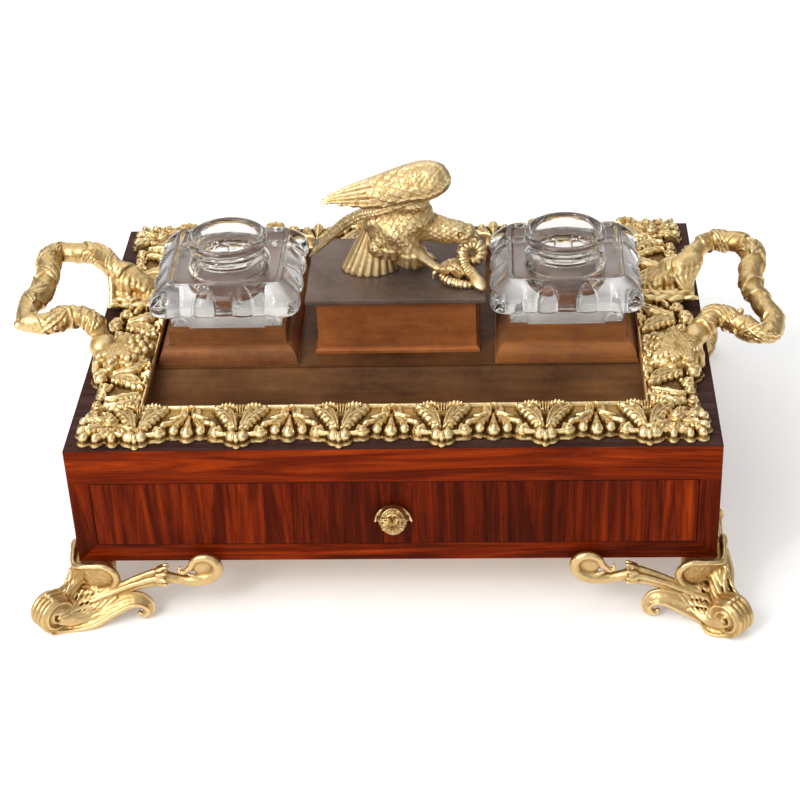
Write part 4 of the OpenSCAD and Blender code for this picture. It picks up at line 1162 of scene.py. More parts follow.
        for u, w in ((a, c), (b, c), (a, b)):
            vol.cone(u, w, 1.35, 1.1, 0.5)
        for t in (0.25, 0.5, 0.75):
            m = tuple(a[i] * (1 - t) + b[i] * t for i in range(3))
            vol.cone(m, c, 1.6, 1.0, 0.7)
    else:
        vol.cone((s * 147.5, 31.0, 105.2), (s * 146.6, 21.4, 95.6), 1.8, 1.3, 0.4)
    # folded leaves lying across the border in front of the root
    for k in range(7):
        a0 = rnd(-0.55, 0.55)
        ux = unit((s * math.cos(a0), math.sin(a0), 0.15))
        uy = unit((-ux[1], ux[0], 0))
        uz = np.cross(ux, uy)
        vol.ell((s * (124.4 + 3.4 * k), 18.6 + (1.7 if k % 2 else -1.5), 96.2 + 0.6 * (k % 2)), (rnd(3.6, 5.2), rnd(1.4, 2.1), rnd(1.8, 2.8)), axes=[ux, uy, uz], k=0.3)
    vol.rough(0.15, 1.5, 41)
    vol.rough(0.15, 3.1, 43)
    if s < 0:  # the one smooth place
        vol.ell((-142.8, -27.4, 100.0), (6.6, 6.8, 5.8), k=0.8)
    vol.cut_below(ZT + 0.03)
    ob = cast("handle_right" if s > 0 else "handle_left", vol, GILT, "case")
    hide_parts("right_handle" if s > 0 else "left_handle")
    lap(ob.name)


# ---------------------------------------------------------------- feet


def foot_flank(vol, end, swap):
    """One face's half of a foot, in the corner's frame: along the face backwards from the corner, out of the face, up."""

    def qn(p):
        p = list(p)
        if swap:
            p[0], p[1] = p[1], p[0]
        return p

    def q(p):
        p = list(p)
        if swap:  # the side's half lies closer to the case than the front's
            p[1] = p[1] * float(np.interp(p[0], [-14, -2, 9], [0.56, 0.62, 1.0]))
        return qn(p)

    def tube(pts, k=0.5, step=1.2, flat=1.0, normal=(0, 0, 1)):
        vol.tube(np.array([q(p) for p in spline(pts, step)]), k, flat, qn(normal))

    ex, ey = end
    ex3, ey3 = -5.0, min(14.2, ey - 1.2)
    # lower band: a channel between two raised edges, rolling out of the volute
    band = spline(
        [(ex + 2.4, ey - 1.6, 3.2), (ex - 4.2, ey - 3.2, 2.6), (ex3, ey3, 4.4), (-13.5, 11.6, 8.2), (-21.5, 10.0, 11.6), (-28.0, 9.2, 11.8), (-31.8, 8.9, 8.6), (-32.0, 8.8, 4.6), (-29.8, 8.8, 2.6)],
        1.0,
    )
    arc = np.concatenate([[0], np.cumsum(np.linalg.norm(np.diff(band, axis=0), axis=1))])
    L = arc[-1]
    path = np.array([q(p) for p in band])

    def channel(S, a, b, c):
        t = S / L
        w = np.interp(t, [0, 0.25, 0.6, 0.8, 1.0], [4.6, 5.0, 4.6, 3.8, 2.0])
        th = np.interp(t, [0, 0.3, 0.8, 1.0], [1.7, 1.6, 1.3, 0.9])
        A = np.abs(a)
        lip = 0.95 * np.exp(-(((A - w + 0.9) / 0.75) ** 2)) + 0.7 * np.exp(-((a / 0.7) ** 2)) * np.clip(1.2 - t * 1.4, 0, 1)
        sag = 0.055 * a * a
        dd = np.maximum(np.abs(b + sag) - th - lip * (b + sag > 0), A - w)
        return np.maximum(dd, c - 1.2) * 0.85

    vol.sweep(path, 8, channel, k=0.5, normal=qn((0.0, 0.62, 0.78)))
    # small curl under the end of the band
    tube([(-31.6, 8.8, 6.4, 1.9), (-31.2, 8.8, 3.4, 1.7), (-28.8, 8.8, 2.1, 1.5), (-27.2, 8.8, 3.6, 1.2)], 0.4)
    # web from the volute back to the arm and the shield
    tube([(ex - 2.0, ey - 5.8, 8.8, 3.6), ((ex - 7) / 2, (ey + 8.0) / 2 - 4.8, 10.0, 4.0), (-5.0, 4.4, 13.0, 4.2), (-13, 4.0, 14.6, 3.0)], 0.6)
    # flutes that run out of the volute's eye, fan over the web and end in rounded tips under the shield
    n = 13
    goal = spline([(-17.0, 9.0, 12.8), (-11.5, 8.2, 14.6), (-4.5, 7.4, 15.2), (1.6, 6.6, 17.0), (3.4, 5.6, 21.0), (3.6, 4.6, 25.4)], 0.5)
    for k in range(n):
        t = k / (n - 1)
        a0 = math.radians(-80 + 175 * t)
        e = goal[int(round(t * (len(goal) - 1)))]
        s0 = (ex - 1.2 * math.cos(a0), ey + 1.5 - 0.9 * math.cos(a0), 9.3 + 3.0 * math.sin(a0), 0.7)
        m1 = (ex + 0.28 * (e[0] - ex) - 1.5 * math.sin(math.pi * t), ey + 0.28 * (e[1] - ey) + 1.3, 4.2 + 10.4 * t, 1.0)
        m2 = (ex + 0.66 * (e[0] - ex) - 0.8 * math.sin(math.pi * t), ey + 0.66 * (e[1] - ey) + 0.7 - 0.4 * t, 6.8 + 0.25 * (e[2] - 12.8) + 8.0 * t, 1.2)
        tube([s0, m1, m2, (*e, 1.15)], 0.16)
        vol.ball(q(e), 1.35, 0.3)
    # arm: reeds that flare towards the calyx
    axis = [(-5, 9.6, 12.0), (-14, 7.2, 14.4), (-24, 5.7, 18.4), (-33.4, 5.1, 21.6), (-39.8, 4.9, 22.9)]
    for k in range(5):
        a0 = 2 * math.pi * k / 5 + 0.3
        pts = []
        for (px, py, pz), off, r in zip(axis, (1.5, 1.9, 2.5, 3.1, 3.5), (1.25, 1.35, 1.5, 1.6, 1.5)):
            pts.append((px - 0.35 * off * math.sin(a0), py + off * math.cos(a0) * 0.86, pz + off * math.sin(a0), r))
        tube(pts, 0.12)
    tube([(*axis[0], 1.5), (*axis[1], 1.6), (*axis[2], 2.1), (*axis[3], 2.7), (*axis[4], 2.9)], 0.15)
    # calyx: a ring of leaf tips
    for k in range(9):
        a0 = 2 * math.pi * k / 9
        y, z = math.cos(a0), math.sin(a0)
        if 4.9 + 4.6 * y < 0.9:
            y = (0.9 - 4.9) / 4.6
        vol.cone(q((-37.8, 4.9 + 3.4 * y, 22.7 + 3.6 * z)), q((-41.6, 4.9 + 4.6 * y, 23.2 + 5.0 * z)), 1.35, 0.95, 0.35)
    vol.ell(q((-39.2, 4.9, 22.9)), (1.7, 4.6, 4.9) if not swap else (4.6, 1.7, 4.9), k=0.4)
    # stem and scroll
    tube([(-40, 4.9, 22.6, 3.1), (-44.5, 4.9, 21.4, 2.6), (-49.5, 4.9, 20.3, 2.5), (-55.2, 4.9, 20.2, 2.9), (-61.0, 4.9, 21.4, 3.1), (-65.6, 4.9, 25.2, 2.9), (-65.8, 4.9, 29.8, 2.5), (-62.6, 4.9, 32.8, 2.2), (-58.0, 4.9, 33.0, 2.0), (-54.4, 4.9, 30.4, 1.7), (-53.6, 4.9, 27.0, 1.3)], 0.45, flat=1.0)
    vol.ell(q((-59.6, 4.4, 27.0)), (5.0, 1.9, 4.8) if not swap else (1.9, 5.0, 4.8), k=0.25)
    tube([(-55.2, 5.0, 30.6, 1.6), (-52.6, 5.0, 27.2, 1.5), (-49.6, 5.0, 24.6, 1.2), (-47.8, 5.0, 25.6, 1.0), (-48.2, 5.0, 27.4, 0.9)], 0.3)
    tube([(-61.5, 5.9, 23.4, 1.0), (-57.0, 6.1, 22.8, 1.1), (-52.6, 5.9, 24.2, 0.8)], 0.3)
    # shield with a rolled rim, under the edge of the case
    c = q((-10.1, 4.7, 22.6))

    def disc(x, y, z):
        X, Y, Z = x - c[0], y - c[1], z - c[2]
        along, out = (X, Y) if not swap else (Y, X)
        rho = np.sqrt((along / 1.08) ** 2 + Z * Z)
        flat = np.maximum(rho - 7.0, np.abs(out + 0.9) - 2.6 + 0.012 * rho * rho)
        # the plate runs on to the corner
        wing = np.maximum(np.maximum(np.abs(along - 6.2) - 6.2, np.abs(Z + 0.6) - 6.4), np.abs(out + 1.6 + 0.05 * np.maximum(along, 0)) - 2.6)
        plate = np.minimum(flat, wing)
        ang = np.arctan2(Z, along)
        # the rolled rim fades out on the side towards the corner
        w = 1.5 + 0.35 * np.cos(ang - 3.4) - 1.2 * np.clip((np.cos(ang) - 0.35) / 0.4, 0, 1)
        rim = np.sqrt((rho - 7.1) ** 2 + ((out - 1.5) / 1.2) ** 2) - w
        return np.minimum(plate, rim)

    vol.fn([c[0] - 14, c[1] - 14, c[2] - 11], [c[0] + 14, c[1] + 14, c[2] + 11], disc, 0.35)
    # the rim's upper part runs on under the edge of the case to the corner
    tube([(-9.6, 6.2, 29.6, 1.45), (-5.0, 6.2, 29.4, 1.4), (-0.8, 5.2, 28.4, 1.4), (2.0, 3.2, 27.6, 1.4)], 0.5)


def make_foot(slip):
    """slip: how far the volute sits along the diagonal's normal, out of the middle."""
    vol = Vol((-71, -71, -0.4), (31, 32, 37), H)
    A = unit((1, -1, 0))
    D = unit((1, 1, 0))
    C = np.array([12.9, 14.9, 9.3]) - A * slip * 0.9 - D * slip * 0.18
    half = 5.4
    # leaf from the corner of the case down to the volute
    vol.cone((-0.6, -0.6, 24.0), tuple(C - D * 7 + np.array([0, 0, 1.5])), 4.2, 4.4, k=1.5)
    vol.ell((-6.0, -4.0, 22.0), (10, 10, 7), k=1.5)
    for j in (-1, 0, 1):
        s = A * j
        top = np.array([2.4, 2.4, 26.2 - 0.6 * abs(j)]) + s * 1.2
        mid = np.array([2.6, 3.0, 18.0 - 0.5 * abs(j)]) * 0.5 + np.array([*(C - D * 4.2)[:2], 17.6 - 0.5 * abs(j)]) * 0.5 + s * 1.9
        low = C - D * (3.6 - 0.5 * abs(j)) + np.array([0, 0, 7.0 - 0.5 * abs(j)]) + s * 1.7
        vol.tube(spline([(*top, 1.2), (*mid, 1.5), (*low, 1.1)], 1.0), 0.25)

    # reeded volute across the diagonal, with a spiral on each end
    def volute(x, y, z):
        X, Y, Z = x - C[0], y - C[1], z - C[2]
        p = X * A[0] + Y * A[1]
        d = X * D[0] + Y * D[1]
        rho = np.sqrt(d * d + Z * Z)
        u = (p + half) / (half / 2)
        f = u - np.floor(u) - 0.5
        rib = 8.05 + 1.2 * np.sqrt(np.clip(1 - (f * 2) ** 2, 0, 1))
        out = rho - rib
        th = np.arctan2(Z, -d)
        turns = (th / (2 * np.pi)) % 1.0
        g = ((rho / 3.3) + turns) % 1.0
        ridge = 0.5 - 0.5 * np.cos(2 * np.pi * g)
        face = np.abs(p) - (half + 1.2 * ridge + np.where(rho < 1.5, 1.2, 0.0))
        return smax(out, face, 0.5) * 0.8

    vol.fn(C - 14, C + 14, volute, 0.5)
    e1, e2 = C - A * half, C + A * half
    foot_flank(vol, (e1[0], e1[1]), False)
    foot_flank(vol, (e2[1], e2[0]), True)
    # acanthus tips over the neck of the volute
    for t in (-1, 0, 1):
        b = C + A * (t * 3.4) - D * 5.2 + np.array([0, 0, 6.6])
        e = C + A * (t * 2.6) + D * 0.5 + np.array([0, 0, 9.7 - abs(t) * 0.5])
        vol.cone(b, e, 2.1, 1.1, 0.4)
    # plate under the case
    vol.fn((-40, -40, 24), (6, 6, 29), lambda x, y, z: np.maximum(np.maximum(np.maximum(x, y) + 3.5, -36 - np.minimum(x, y)), np.maximum(np.abs(z - 26.6) - 1.3, -(x + y) - 46)), 0.3)
    # nothing inside the case
    vol.fn((-80, -80, 27.9), (0.2, 0.2, 40), lambda x, y, z: np.maximum(np.maximum(x, y) - 0.05, 27.97 - z), 0, carve=True)
    # chased lines that fan out of the volute's eye over the web and the corner leaf
    for (gx, gy, _), swap in ((e1, False), ((e2[1], e2[0], 0), True)):

        def chase(x, y, z):
            along, out = (x, y) if not swap else (y, x)
            du = np.hypot(along - gx, out - gy)
            dz = z - 9.3
            psi = np.degrees(np.arctan2(dz, du))
            rho = np.hypot(du, dz)
            roll = np.hypot((x - C[0]) * D[0] + (y - C[1]) * D[1], z - C[2])
            across = np.abs((x - C[0]) * A[0] + (y - C[1]) * A[1])
            off = np.maximum(np.clip((roll - 10.4) / 0.8, 0, 1), np.clip((across - half - 1.6) / 0.8, 0, 1))
            on = off * np.clip((rho - 3.0) / 2, 0, 1) * np.clip((22 - rho) / 4, 0, 1) * np.clip((psi + 14) / 5, 0, 1) * np.clip((70 - psi) / 8, 0, 1)
            return 0.50 * on * (0.5 + 0.5 * np.cos(np.radians((psi + 0.35 * (rho - 12)) * 360 / 9.0))) ** 1.3

        w = vol.window((-26, -26, 8), (24, 24, 28))
        cur = vol.d[w[0]]
        cur += np.where(np.abs(cur) < 2.5, chase(w[1], w[2], w[3]), 0).astype(F)
    vol.rough(0.10, 1.6, 3)
    vol.cut_below(0.02)
    p, t, q, small, wide = vol.mesh()
    # punched ground on the shields
    rnd = np.random.RandomState(9)
    jig = rnd.uniform(-1, 1, len(p)).astype(F)
    for a, o in ((0, 1), (1, 0)):
        on = (np.hypot((p[:, a] + 10.3) / 1.08, p[:, 2] - 22.4) < 6.0) & (p[:, o] > 5.4) & (p[:, o] < 7.6)
        p[on, o] += jig[on] * 0.2
        small[on] += jig[on] * 0.25
    return p, t, q, small, wide


def make_feet():
    # the right front foot's volute stands a little nearer the middle than the left one's
    even, slipped = make_foot(0.0), make_foot(9.0)
    for name, node, sx, sy, made in (
        ("foot_fl", "foot_front_left", -1, -1, even),
        ("foot_fr", "foot_front_right", 1, -1, slipped),
        ("foot_bl", "foot_rear_left", -1, 1, even),
        ("foot_br", "foot_rear_right", 1, 1, even),
    ):
        ob = place(name, made, GILT_FOOT, "case", (sx, sy, 1), (sx * 150, sy * 104, 0))
        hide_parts(node)
    lap("feet")


# ---------------------------------------------------------------- eagle and serpent

ZS = 120.9  # the lid's top face


def scales(s, a, ps, pa, rib=0.25):
    """Overlapping feathers: s runs towards their tips, a across. Returns about 0 to 1."""
    best = None
    for back in (1, 0):
        i = np.floor(s / ps) - back
        ls = (s - i * ps) / (2 * ps)
        la = ((a / pa + 0.5 * (i % 2)) % 1.0 - 0.5) * 2
        inside = ls < 1 - 0.55 * la * la
        h = 0.15 + 0.85 * ls * (1 - 0.45 * la * la) + rib * np.exp(-((la / 0.16) ** 2)) * 0.6
        h = h + 0.10 * np.cos(2 * np.pi * (ls * 4.5 - np.abs(la) * 1.4))
        best = np.where(inside, h, best) if best is not None else h
        if back == 1:
            first, first_in = h, inside
    return np.where(first_in, first, best)


def poly_distance(X, Y, pts):
    """Signed distance to a polygon, negative inside."""
    d = np.full(np.broadcast(X, Y).shape, 1e6)
    odd = np.zeros(d.shape, bool)
    n = len(pts)
    for i in range(n):
        ax, ay = pts[i]
        bx, by = pts[(i + 1) % n]
        ex, ey = bx - ax, by - ay
        t = np.clip(((X - ax) * ex + (Y - ay) * ey) / (ex * ex + ey * ey + 1e-9), 0, 1)
        d = np.minimum(d, np.hypot(X - ax - t * ex, Y - ay - t * ey))
        if ay != by:
            cross = ((ay > Y) != (by > Y)) & (X < (bx - ax) * (Y - ay) / (by - ay) + ax)
            odd ^= cross
    return np.where(odd, -d, d)


WING = [
    (-37.0, -3.4), (-32.4, 0.4), (-26.6, 3.6), (-16, 7.4), (-4.9, 11.4), (2, 13.8), (8.5, 15.7), (13, 16.7), (17.6, 16.9),
    (21.8, 16.0), (25.0, 14.0), (27.4, 11.0), (28.4, 7.6), (27.8, 4.0), (25.4, 0.8), (21.4, -1.8), (16, -3.6), (11, -4.0), (6.6, -4.4),
    (2, -5.4), (-3, -6.3), (-9, -6.8), (-14.6, -7.2), (-16.2, -6.0), (-19.4, -6.2), (-20.8, -5.0), (-25.0, -5.2), (-27.0, -4.2), (-32.2, -4.6),
]


def make_eagle(h):
    tau = math.radians(26)
    st, ct = math.sin(tau), math.cos(tau)
    # near wing
    vol = Vol((-38, -14, 152), (31, 15, 188), h)

    def wing(x, y, z):
        b = (y + 3.5) * st + (z - 167.3) * ct
        n = -(y + 3.5) * ct + (z - 167.3) * st
        xx = x + 0 * b
        P = poly_distance(xx, b, WING) + 0.45
        u = unit((-0.968, -0.25, 0))
        s = (xx - 25) * u[0] + (b - 6) * u[1]
        a = -(xx - 25) * u[1] + (b - 6) * u[0]
        s, a = s, -a
        n = n + 0.012 * (a - 1) ** 2 - 0.6
        th = np.interp(s, [-2, 6, 18, 34, 50, 62], [4.4, 5.2, 4.4, 3.0, 1.9, 1.2])
        # coverts: fine on the shoulder, larger behind, long flights at the tip
        fine = scales(s + 0.3 * np.sin(a), a, 1.9, 2.7) * 0.5
        mid = scales(s + 0.35 * np.sin(a * 0.8), a, 3.5, 4.0) * 0.85
        w = np.clip((s - 13.5 - 0.14 * a) / 1.2, 0, 1)
        rel = fine * (1 - w) + mid * w + 0.35 * np.exp(-(((s - 13.2 - 0.14 * a) / 0.6) ** 2))
        up = np.interp(xx, [-37, -32.4, -26.6, -16, -4.9, 8.5], [-3.0, 0.4, 3.6, 7.4, 11.4, 15.7])
        lo = np.interp(xx, [-37, -30, -20, -9, 8.5], [-4.0, -4.9, -5.9, -6.9, -4.6])
        v = np.clip((b - lo) / (up - lo), 0, 1)
        f = (v * 6.0) % 1.0
        quill = np.exp(-(((f - 0.42) / 0.10) ** 2)) * 0.4
        blade = np.clip(f / 0.8, 0, 1) * np.clip((1 - f) / 0.14, 0, 1)
        flight = (1.3 * blade + quill + 0.08 * np.cos(2 * np.pi * (xx * 0.75 + f * 1.6))) * np.clip((up - lo) / 7, 0.35, 1)
        wf = np.clip((-9.5 - 2.2 * np.sin(b * 1.3) - 0.25 * b - xx) / 0.9, 0, 1)
        rel = rel * (1 - wf) + flight * wf - 0.35 * wf
        # a rolled leading edge and lower lip
        rel = rel + 0.7 * np.exp(-(((P + 1.5) / 0.8) ** 2)) * np.clip((26 - s) / 6, 0, 1)
        side = np.where(n > 0, n - th * np.sqrt(np.clip(-P / 6, 0.04, 1)) - rel * 0.75, -n - 0.8 * th * np.sqrt(np.clip(-P / 6, 0.04, 1)) - 0.5 * rel)
        return smax(P, side, 1.0) * 0.8

    vol.fn(vol.lo, vol.lo + np.array(vol.n) * h, wing, 0)
    vol.rough(0.12, 1.2, 61)
    vol.rough(0.15, 2.6, 62)
    ob = cast("eagle_wing_near", vol, GILT_FINE, "lid")
    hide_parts("eagle_near_wing")

    # far wing: a long plume that hangs down behind
    vol = Vol((-48, -8, ZS + 0.02), (16, 24, 172), h)
    pts = spline(
        [(8, 0.5, 163.2, 3.4), (-1, -1.2, 160.4, 3.2), (-8, -0.6, 157.8, 3.0), (-14.6, 2.2, 154.8, 2.9), (-20, 5.2, 150.6, 2.9), (-25.4, 8.8, 145.2, 2.9), (-32.2, 12, 137.4, 2.5), (-38.4, 14.4, 129.8, 1.9), (-43.2, 16.0, 124.0, 0.8)],
        0.8,
    )
    arc = np.concatenate([[0], np.cumsum(np.linalg.norm(np.diff(pts[:, :3], axis=0), axis=1))])

    def plume(S, a, b, c):
        w = np.interp(S, arc, pts[:, 3])
        step = (S / 4.6) % 1.0
        edge = w * (1 - np.where(S < 34, 0.34, 0.12) * np.where(a < 0, step, 0.2))
        t = np.interp(S, [0, 20, 50, arc[-1]], [3.2, 2.2, 1.7, 0.8])
        v = a / w
        f = ((v + 1) * 2.1) % 1.0
        rel = 0.55 * np.clip(f / 0.75, 0, 1) * np.clip((1 - f) / 0.2, 0, 1) + 0.5 * np.exp(-((v / 0.14) ** 2)) + 0.06 * np.cos(2 * np.pi * (S / 1.5 + np.abs(v)))
        side = np.where(b > 0, b - t - rel, -b - t * 0.8 - 0.4 * rel)
        return smax(np.abs(a) - edge, side, 1.2) * 0.8 + 0 * c + np.maximum(c - 0.2, 0)

    vol.sweep(pts, 9, plume, k=0, normal=(0.1, -0.84, 0.54))
    vol.rough(0.14, 1.2, 63)
    vol.cut_below(ZS + 0.02)
    ob = cast("eagle_wing_far", vol, GILT_FINE, "lid")
    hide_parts("eagle_far_wing")

    # body, thighs, tail, leg and head
    vol = Vol((-31, -9, ZS + 0.02), (43, 22, 168), h)
    vol.ell((1, 8, 147), (16.6, 9.6, 12), k=1)
    vol.ell((8.5, 6.5, 151), (10.2, 9, 9), k=2)
    vol.ell((8, 4, 160), (9, 6.5, 6), k=2)
    vol.cone((2.5, 4.2, 143.0), (9.6, 1.2, 129.6), 8.6, 4.4, k=3.5)
    vol.cone((-2.0, 6.0, 141.0), (-8.6, 3.8, 135.6), 8.0, 5.0, k=4.0)
    vol.ell((1.0, 4.6, 135.5), (9.0, 5.6, 6.4), k=3.0)
    vol.ell((4, 15, 138), (8, 5.6, 10), k=1.6)
    neck = spline([(11, 8, 147, 7.6), (17, 7.2, 144.2, 6.7), (24, 6.2, 142.7, 5.9), (30.4, 5.6, 142.4, 5.2), (34.4, 5.3, 141.8, 3.9)], 1.0)
    vol.tube(neck, 1.5)

    # feathers all over what is there so far
    sl, x, y, z = vol.window(vol.lo, vol.lo + np.array(vol.n) * h)
    d = vol.d
    near = d < 2.5
    down = (158 - z) + 0.10 * (x - 1) ** 2 * 0.1 + 0 * x + 0 * y
    around = np.arctan2(y - 9, x - 1) * 11
    rb = scales(down + 0.4 * np.sin(around), around, 2.6, 3.3)
    rn = scales(x + 0 * y + 0 * z - 10, np.arctan2(z - 142.5, y - 6.4) * 6, 2.1, 2.7)
    t = np.clip((x - 15.5) / 2, 0, 1)
    rel = rb * (1 - t) + rn * t
    lumps = 0.5 * np.sin(down * 0.55 + 1.7 * np.sin(around * 0.23)) * np.cos(around * 0.31)
    d[...] = np.where(near, d - 0.6 * rel - 0.5 * lumps + 0.15, d)
    vol.rough(0.15, 1.2, 64)
    vol.rough(0.22, 2.8, 65)
    # ragged skirts of feathers over the legs
    rnd = Rand(5)
    for cx, cy, cz, rx, ry, a0, a1, n, ln in (
        (7.6, 1.8, 129.8, 5.6, 4.4, -200, 60, 9, 3.4),
        (-2.0, 3.0, 132.2, 5.0, 4.0, -200, 10, 6, 2.0),
        (4.5, 14.6, 131.0, 6.6, 5.0, -60, 220, 9, 5.0),
    ):
        for k in range(n):
            a = math.radians(a0 + (a1 - a0) * k / (n - 1) + rnd(-5, 5))
            bx, by = cx + rx * math.cos(a), cy + ry * math.sin(a)
            tip = (cx + (rx + 0.4) * math.cos(a) + rnd(-0.5, 0.5), cy + (ry + 0.2) * math.sin(a), cz - ln * rnd(0.75, 1.1))
            vol.cone((bx * 0.9 + cx * 0.1, by * 0.9 + cy * 0.1, cz + 3.4), (tip[0], tip[1], tip[2] + 1.6), 2.6, 1.5, 0.7)
            vol.cone((tip[0], tip[1], tip[2] + 1.8), tip, 1.2, 0.45, 0.2)
    # tail: a ribbed fan down to the slab
    ax, ay = -13.2, 10.0
    for k in range(9):
        a = math.radians(192 + 150 * k / 8)
        foot = (ax + 12.4 * math.cos(a), ay + 9.2 * math.sin(a), ZS + 0.7 + rnd(-0.3, 0.5))
        head = (ax + 3.4 + 4.4 * math.cos(a), ay - 0.5 + 4.0 * math.sin(a), 143.5)
        mid = tuple((foot[j] * 0.55 + head[j] * 0.45) for j in range(3))
        vol.cone(head, mid, 1.6, 2.0, 0.2)
        vol.cone(mid, foot, 2.0, 2.3, 0.2)
        c = math.radians(192 + 150 * (k + 0.28) / 8)
        lowc = (ax + 12.9 * math.cos(c), ay + 9.8 * math.sin(c), ZS + 0.8)
        topc = (ax + 2.6 + 6.0 * math.cos(c), ay - 0.4 + 5.2 * math.sin(c), 138)
        vol.cone(topc, lowc, 0.5, 0.9, 0.2)
    vol.cone((ax + 2, ay + 1.0, 143), (ax, ay + 0.4, ZS), 5.2, 8.4, 0.5)
    for k in range(8):  # its far side
        a = math.radians(2 + 176 * k / 7)
        vol.cone((ax + 2 + 4.7 * math.cos(a), ay + 1.0 + 4.7 * math.sin(a), 142), (ax + 7.9 * math.cos(a), ay + 0.4 + 7.9 * math.sin(a), ZS + 0.8 + rnd(-0.2, 0.4)), 0.9, 1.5, 0.15)
    # leg and claw
    vol.tube(spline([(9, 0.6, 135, 3.8), (12.4, -0.6, 132.4, 3.2), (16.4, -2, 129.6, 2.4), (20.2, -3.4, 127.4, 2.1), (22.6, -4.2, 126.6, 2.4)], 0.8), 0.6)
    for k, (ty, tx) in enumerate(((-11.0, 26.4), (-8.6, 29.2), (-5.6, 30.4))):
        p = spline([(21.6, -4.0, 127.2, 1.7), (tx - 2.8, ty + 2.0, 128.6, 1.7), (tx, ty + 0.4, 127.6, 1.6), (tx + 1.4, ty - 0.6, 124.9, 1.35), (tx + 0.8, ty - 0.9, 122.6, 0.7)], 0.7)
        p[:, 3] *= 1 + 0.14 * np.cos(np.arange(len(p)) * 1.7)
        vol.tube(p, 0.3)
    vol.tube(spline([(21, -3.6, 126.6, 1.5), (18.6, -4.4, 125.2, 1.2), (18.0, -5.2, 122.8, 0.7)], 0.7), 0.3)
    # second foot, standing behind
    vol.cone((9, 14.6, 132), (11.5, 14.6, 123.4), 2.8, 2.1, 0.5)
    for dx, dy in ((6.6, -3), (7.4, 0.4), (6.2, 3.4), (-4.2, 0.6)):
        vol.tube(spline([(11.5, 14.6, 123.6, 1.6), (11.5 + dx * 0.6, 14.6 + dy * 0.6, 123.2, 1.4), (11.5 + dx, 14.6 + dy, 121.6, 0.7)], 0.7), 0.3)
    # brow, eyes and hooked beak
    for t in (-1, 1):
        vol.ell((31.2, 5.6 + t * 3.6, 145.0), (3.3, 1.5, 1.2), axes=[unit((1, 0, -0.35)), (0, 1, 0), unit((0.35, 0, 1))], k=0.5)
        vol.ball((31.6, 5.6 + t * 4.6, 142.9), 1.5, 0.2, carve=True)
        vol.ball((31.6, 5.6 + t * 4.1, 142.9), 1.0, 0.0)
        vol.cone((34.0, 5.2 + t * 3.0, 139.8), (38.0, 5.0 + t * 1.0, 139.2), 0.5, 0.3, 0.2, carve=True)
    vol.tube(spline([(33, 5.3, 141.6, 3.7), (36, 5.1, 141.8, 2.7), (38.6, 5, 141.0, 1.8), (39.9, 5, 139.2, 1.2), (39.9, 5, 137.6, 0.6)], 0.6), 0.6)
    vol.cut_below(ZS + 0.02)
    ob = cast("eagle_figure", vol, GILT_FINE, "lid")
    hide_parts("eagle_body")

    # serpent
    vol = Vol((19, -21, ZS + 0.02), (44.7, 13, 140), h)
    ring = []
    for k in range(13):
        a = math.radians(200 - 27.5 * k)
        dx, dz = 4.6 * math.cos(a), 4.6 * math.sin(a)
        ring.append((36.8 + dx, 5.6 + 0.5 * dz + 0.32 * k - 1.0, 129.9 + 0.86 * dz, 2.95))
    path = (
        [(41.8, -16.6, 123.5, 1.6), (40.2, -13.6, 124.4, 3.0), (38.2, -10.0, 125.1, 3.1), (36.0, -5.6, 125.6, 3.0), (33.6, -1.2, 126.0, 2.8)]
        + ring
        + [(30.6, 8.8, 123.6, 2.4), (25.6, 7.2, 123.3, 2.3), (22.5, 3.0, 123.3, 2.3), (22.5, -3.0, 123.3, 2.4), (25.2, -8.6, 123.3, 2.4), (30.0, -11.8, 123.3, 2.2), (34.6, -12.4, 122.9, 1.9), (38.6, -11.6, 122.3, 1.2)]
    )
    P = spline(path, 0.7)
    arc = np.concatenate([[0], np.cumsum(np.linalg.norm(np.diff(P[:, :3], axis=0), axis=1))])

    def snake(S, a, b, c):
        th = np.arctan2(b, a)
        r = np.interp(S, arc, P[:, 3])
        ribs = 0.2 * np.cos(2 * np.pi * S / 2.0) + 0.10 * np.cos(6 * th) * np.cos(np.pi * S / 2.0)
        return np.sqrt(a * a + b * b + c * c) - r - ribs * np.clip((S - 7) / 4, 0, 1)

    vol.sweep(P, 4.6, snake, k=0)
    d0, up = unit((0.52, -0.84, -0.22)), (0.1, -0.2, 0.97)
    vol.ell((39.8, -13.2, 124.6), (5.6, 3.5, 2.3), axes=[d0, unit(np.cross(up, d0)), up], k=0.5)
    for t in (-1, 1):
        e = np.array((39.8, -12.6, 126.0)) + np.cross(up, d0) * t * 2.0
        vol.ball(e, 0.8, 0.2)
    vol.cut_below(ZS + 0.02)
    ob = cast("serpent_coil", vol, GILT_FINE, "lid")
    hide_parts("serpent")
    lap("eagle")


# ---------------------------------------------------------------- knob


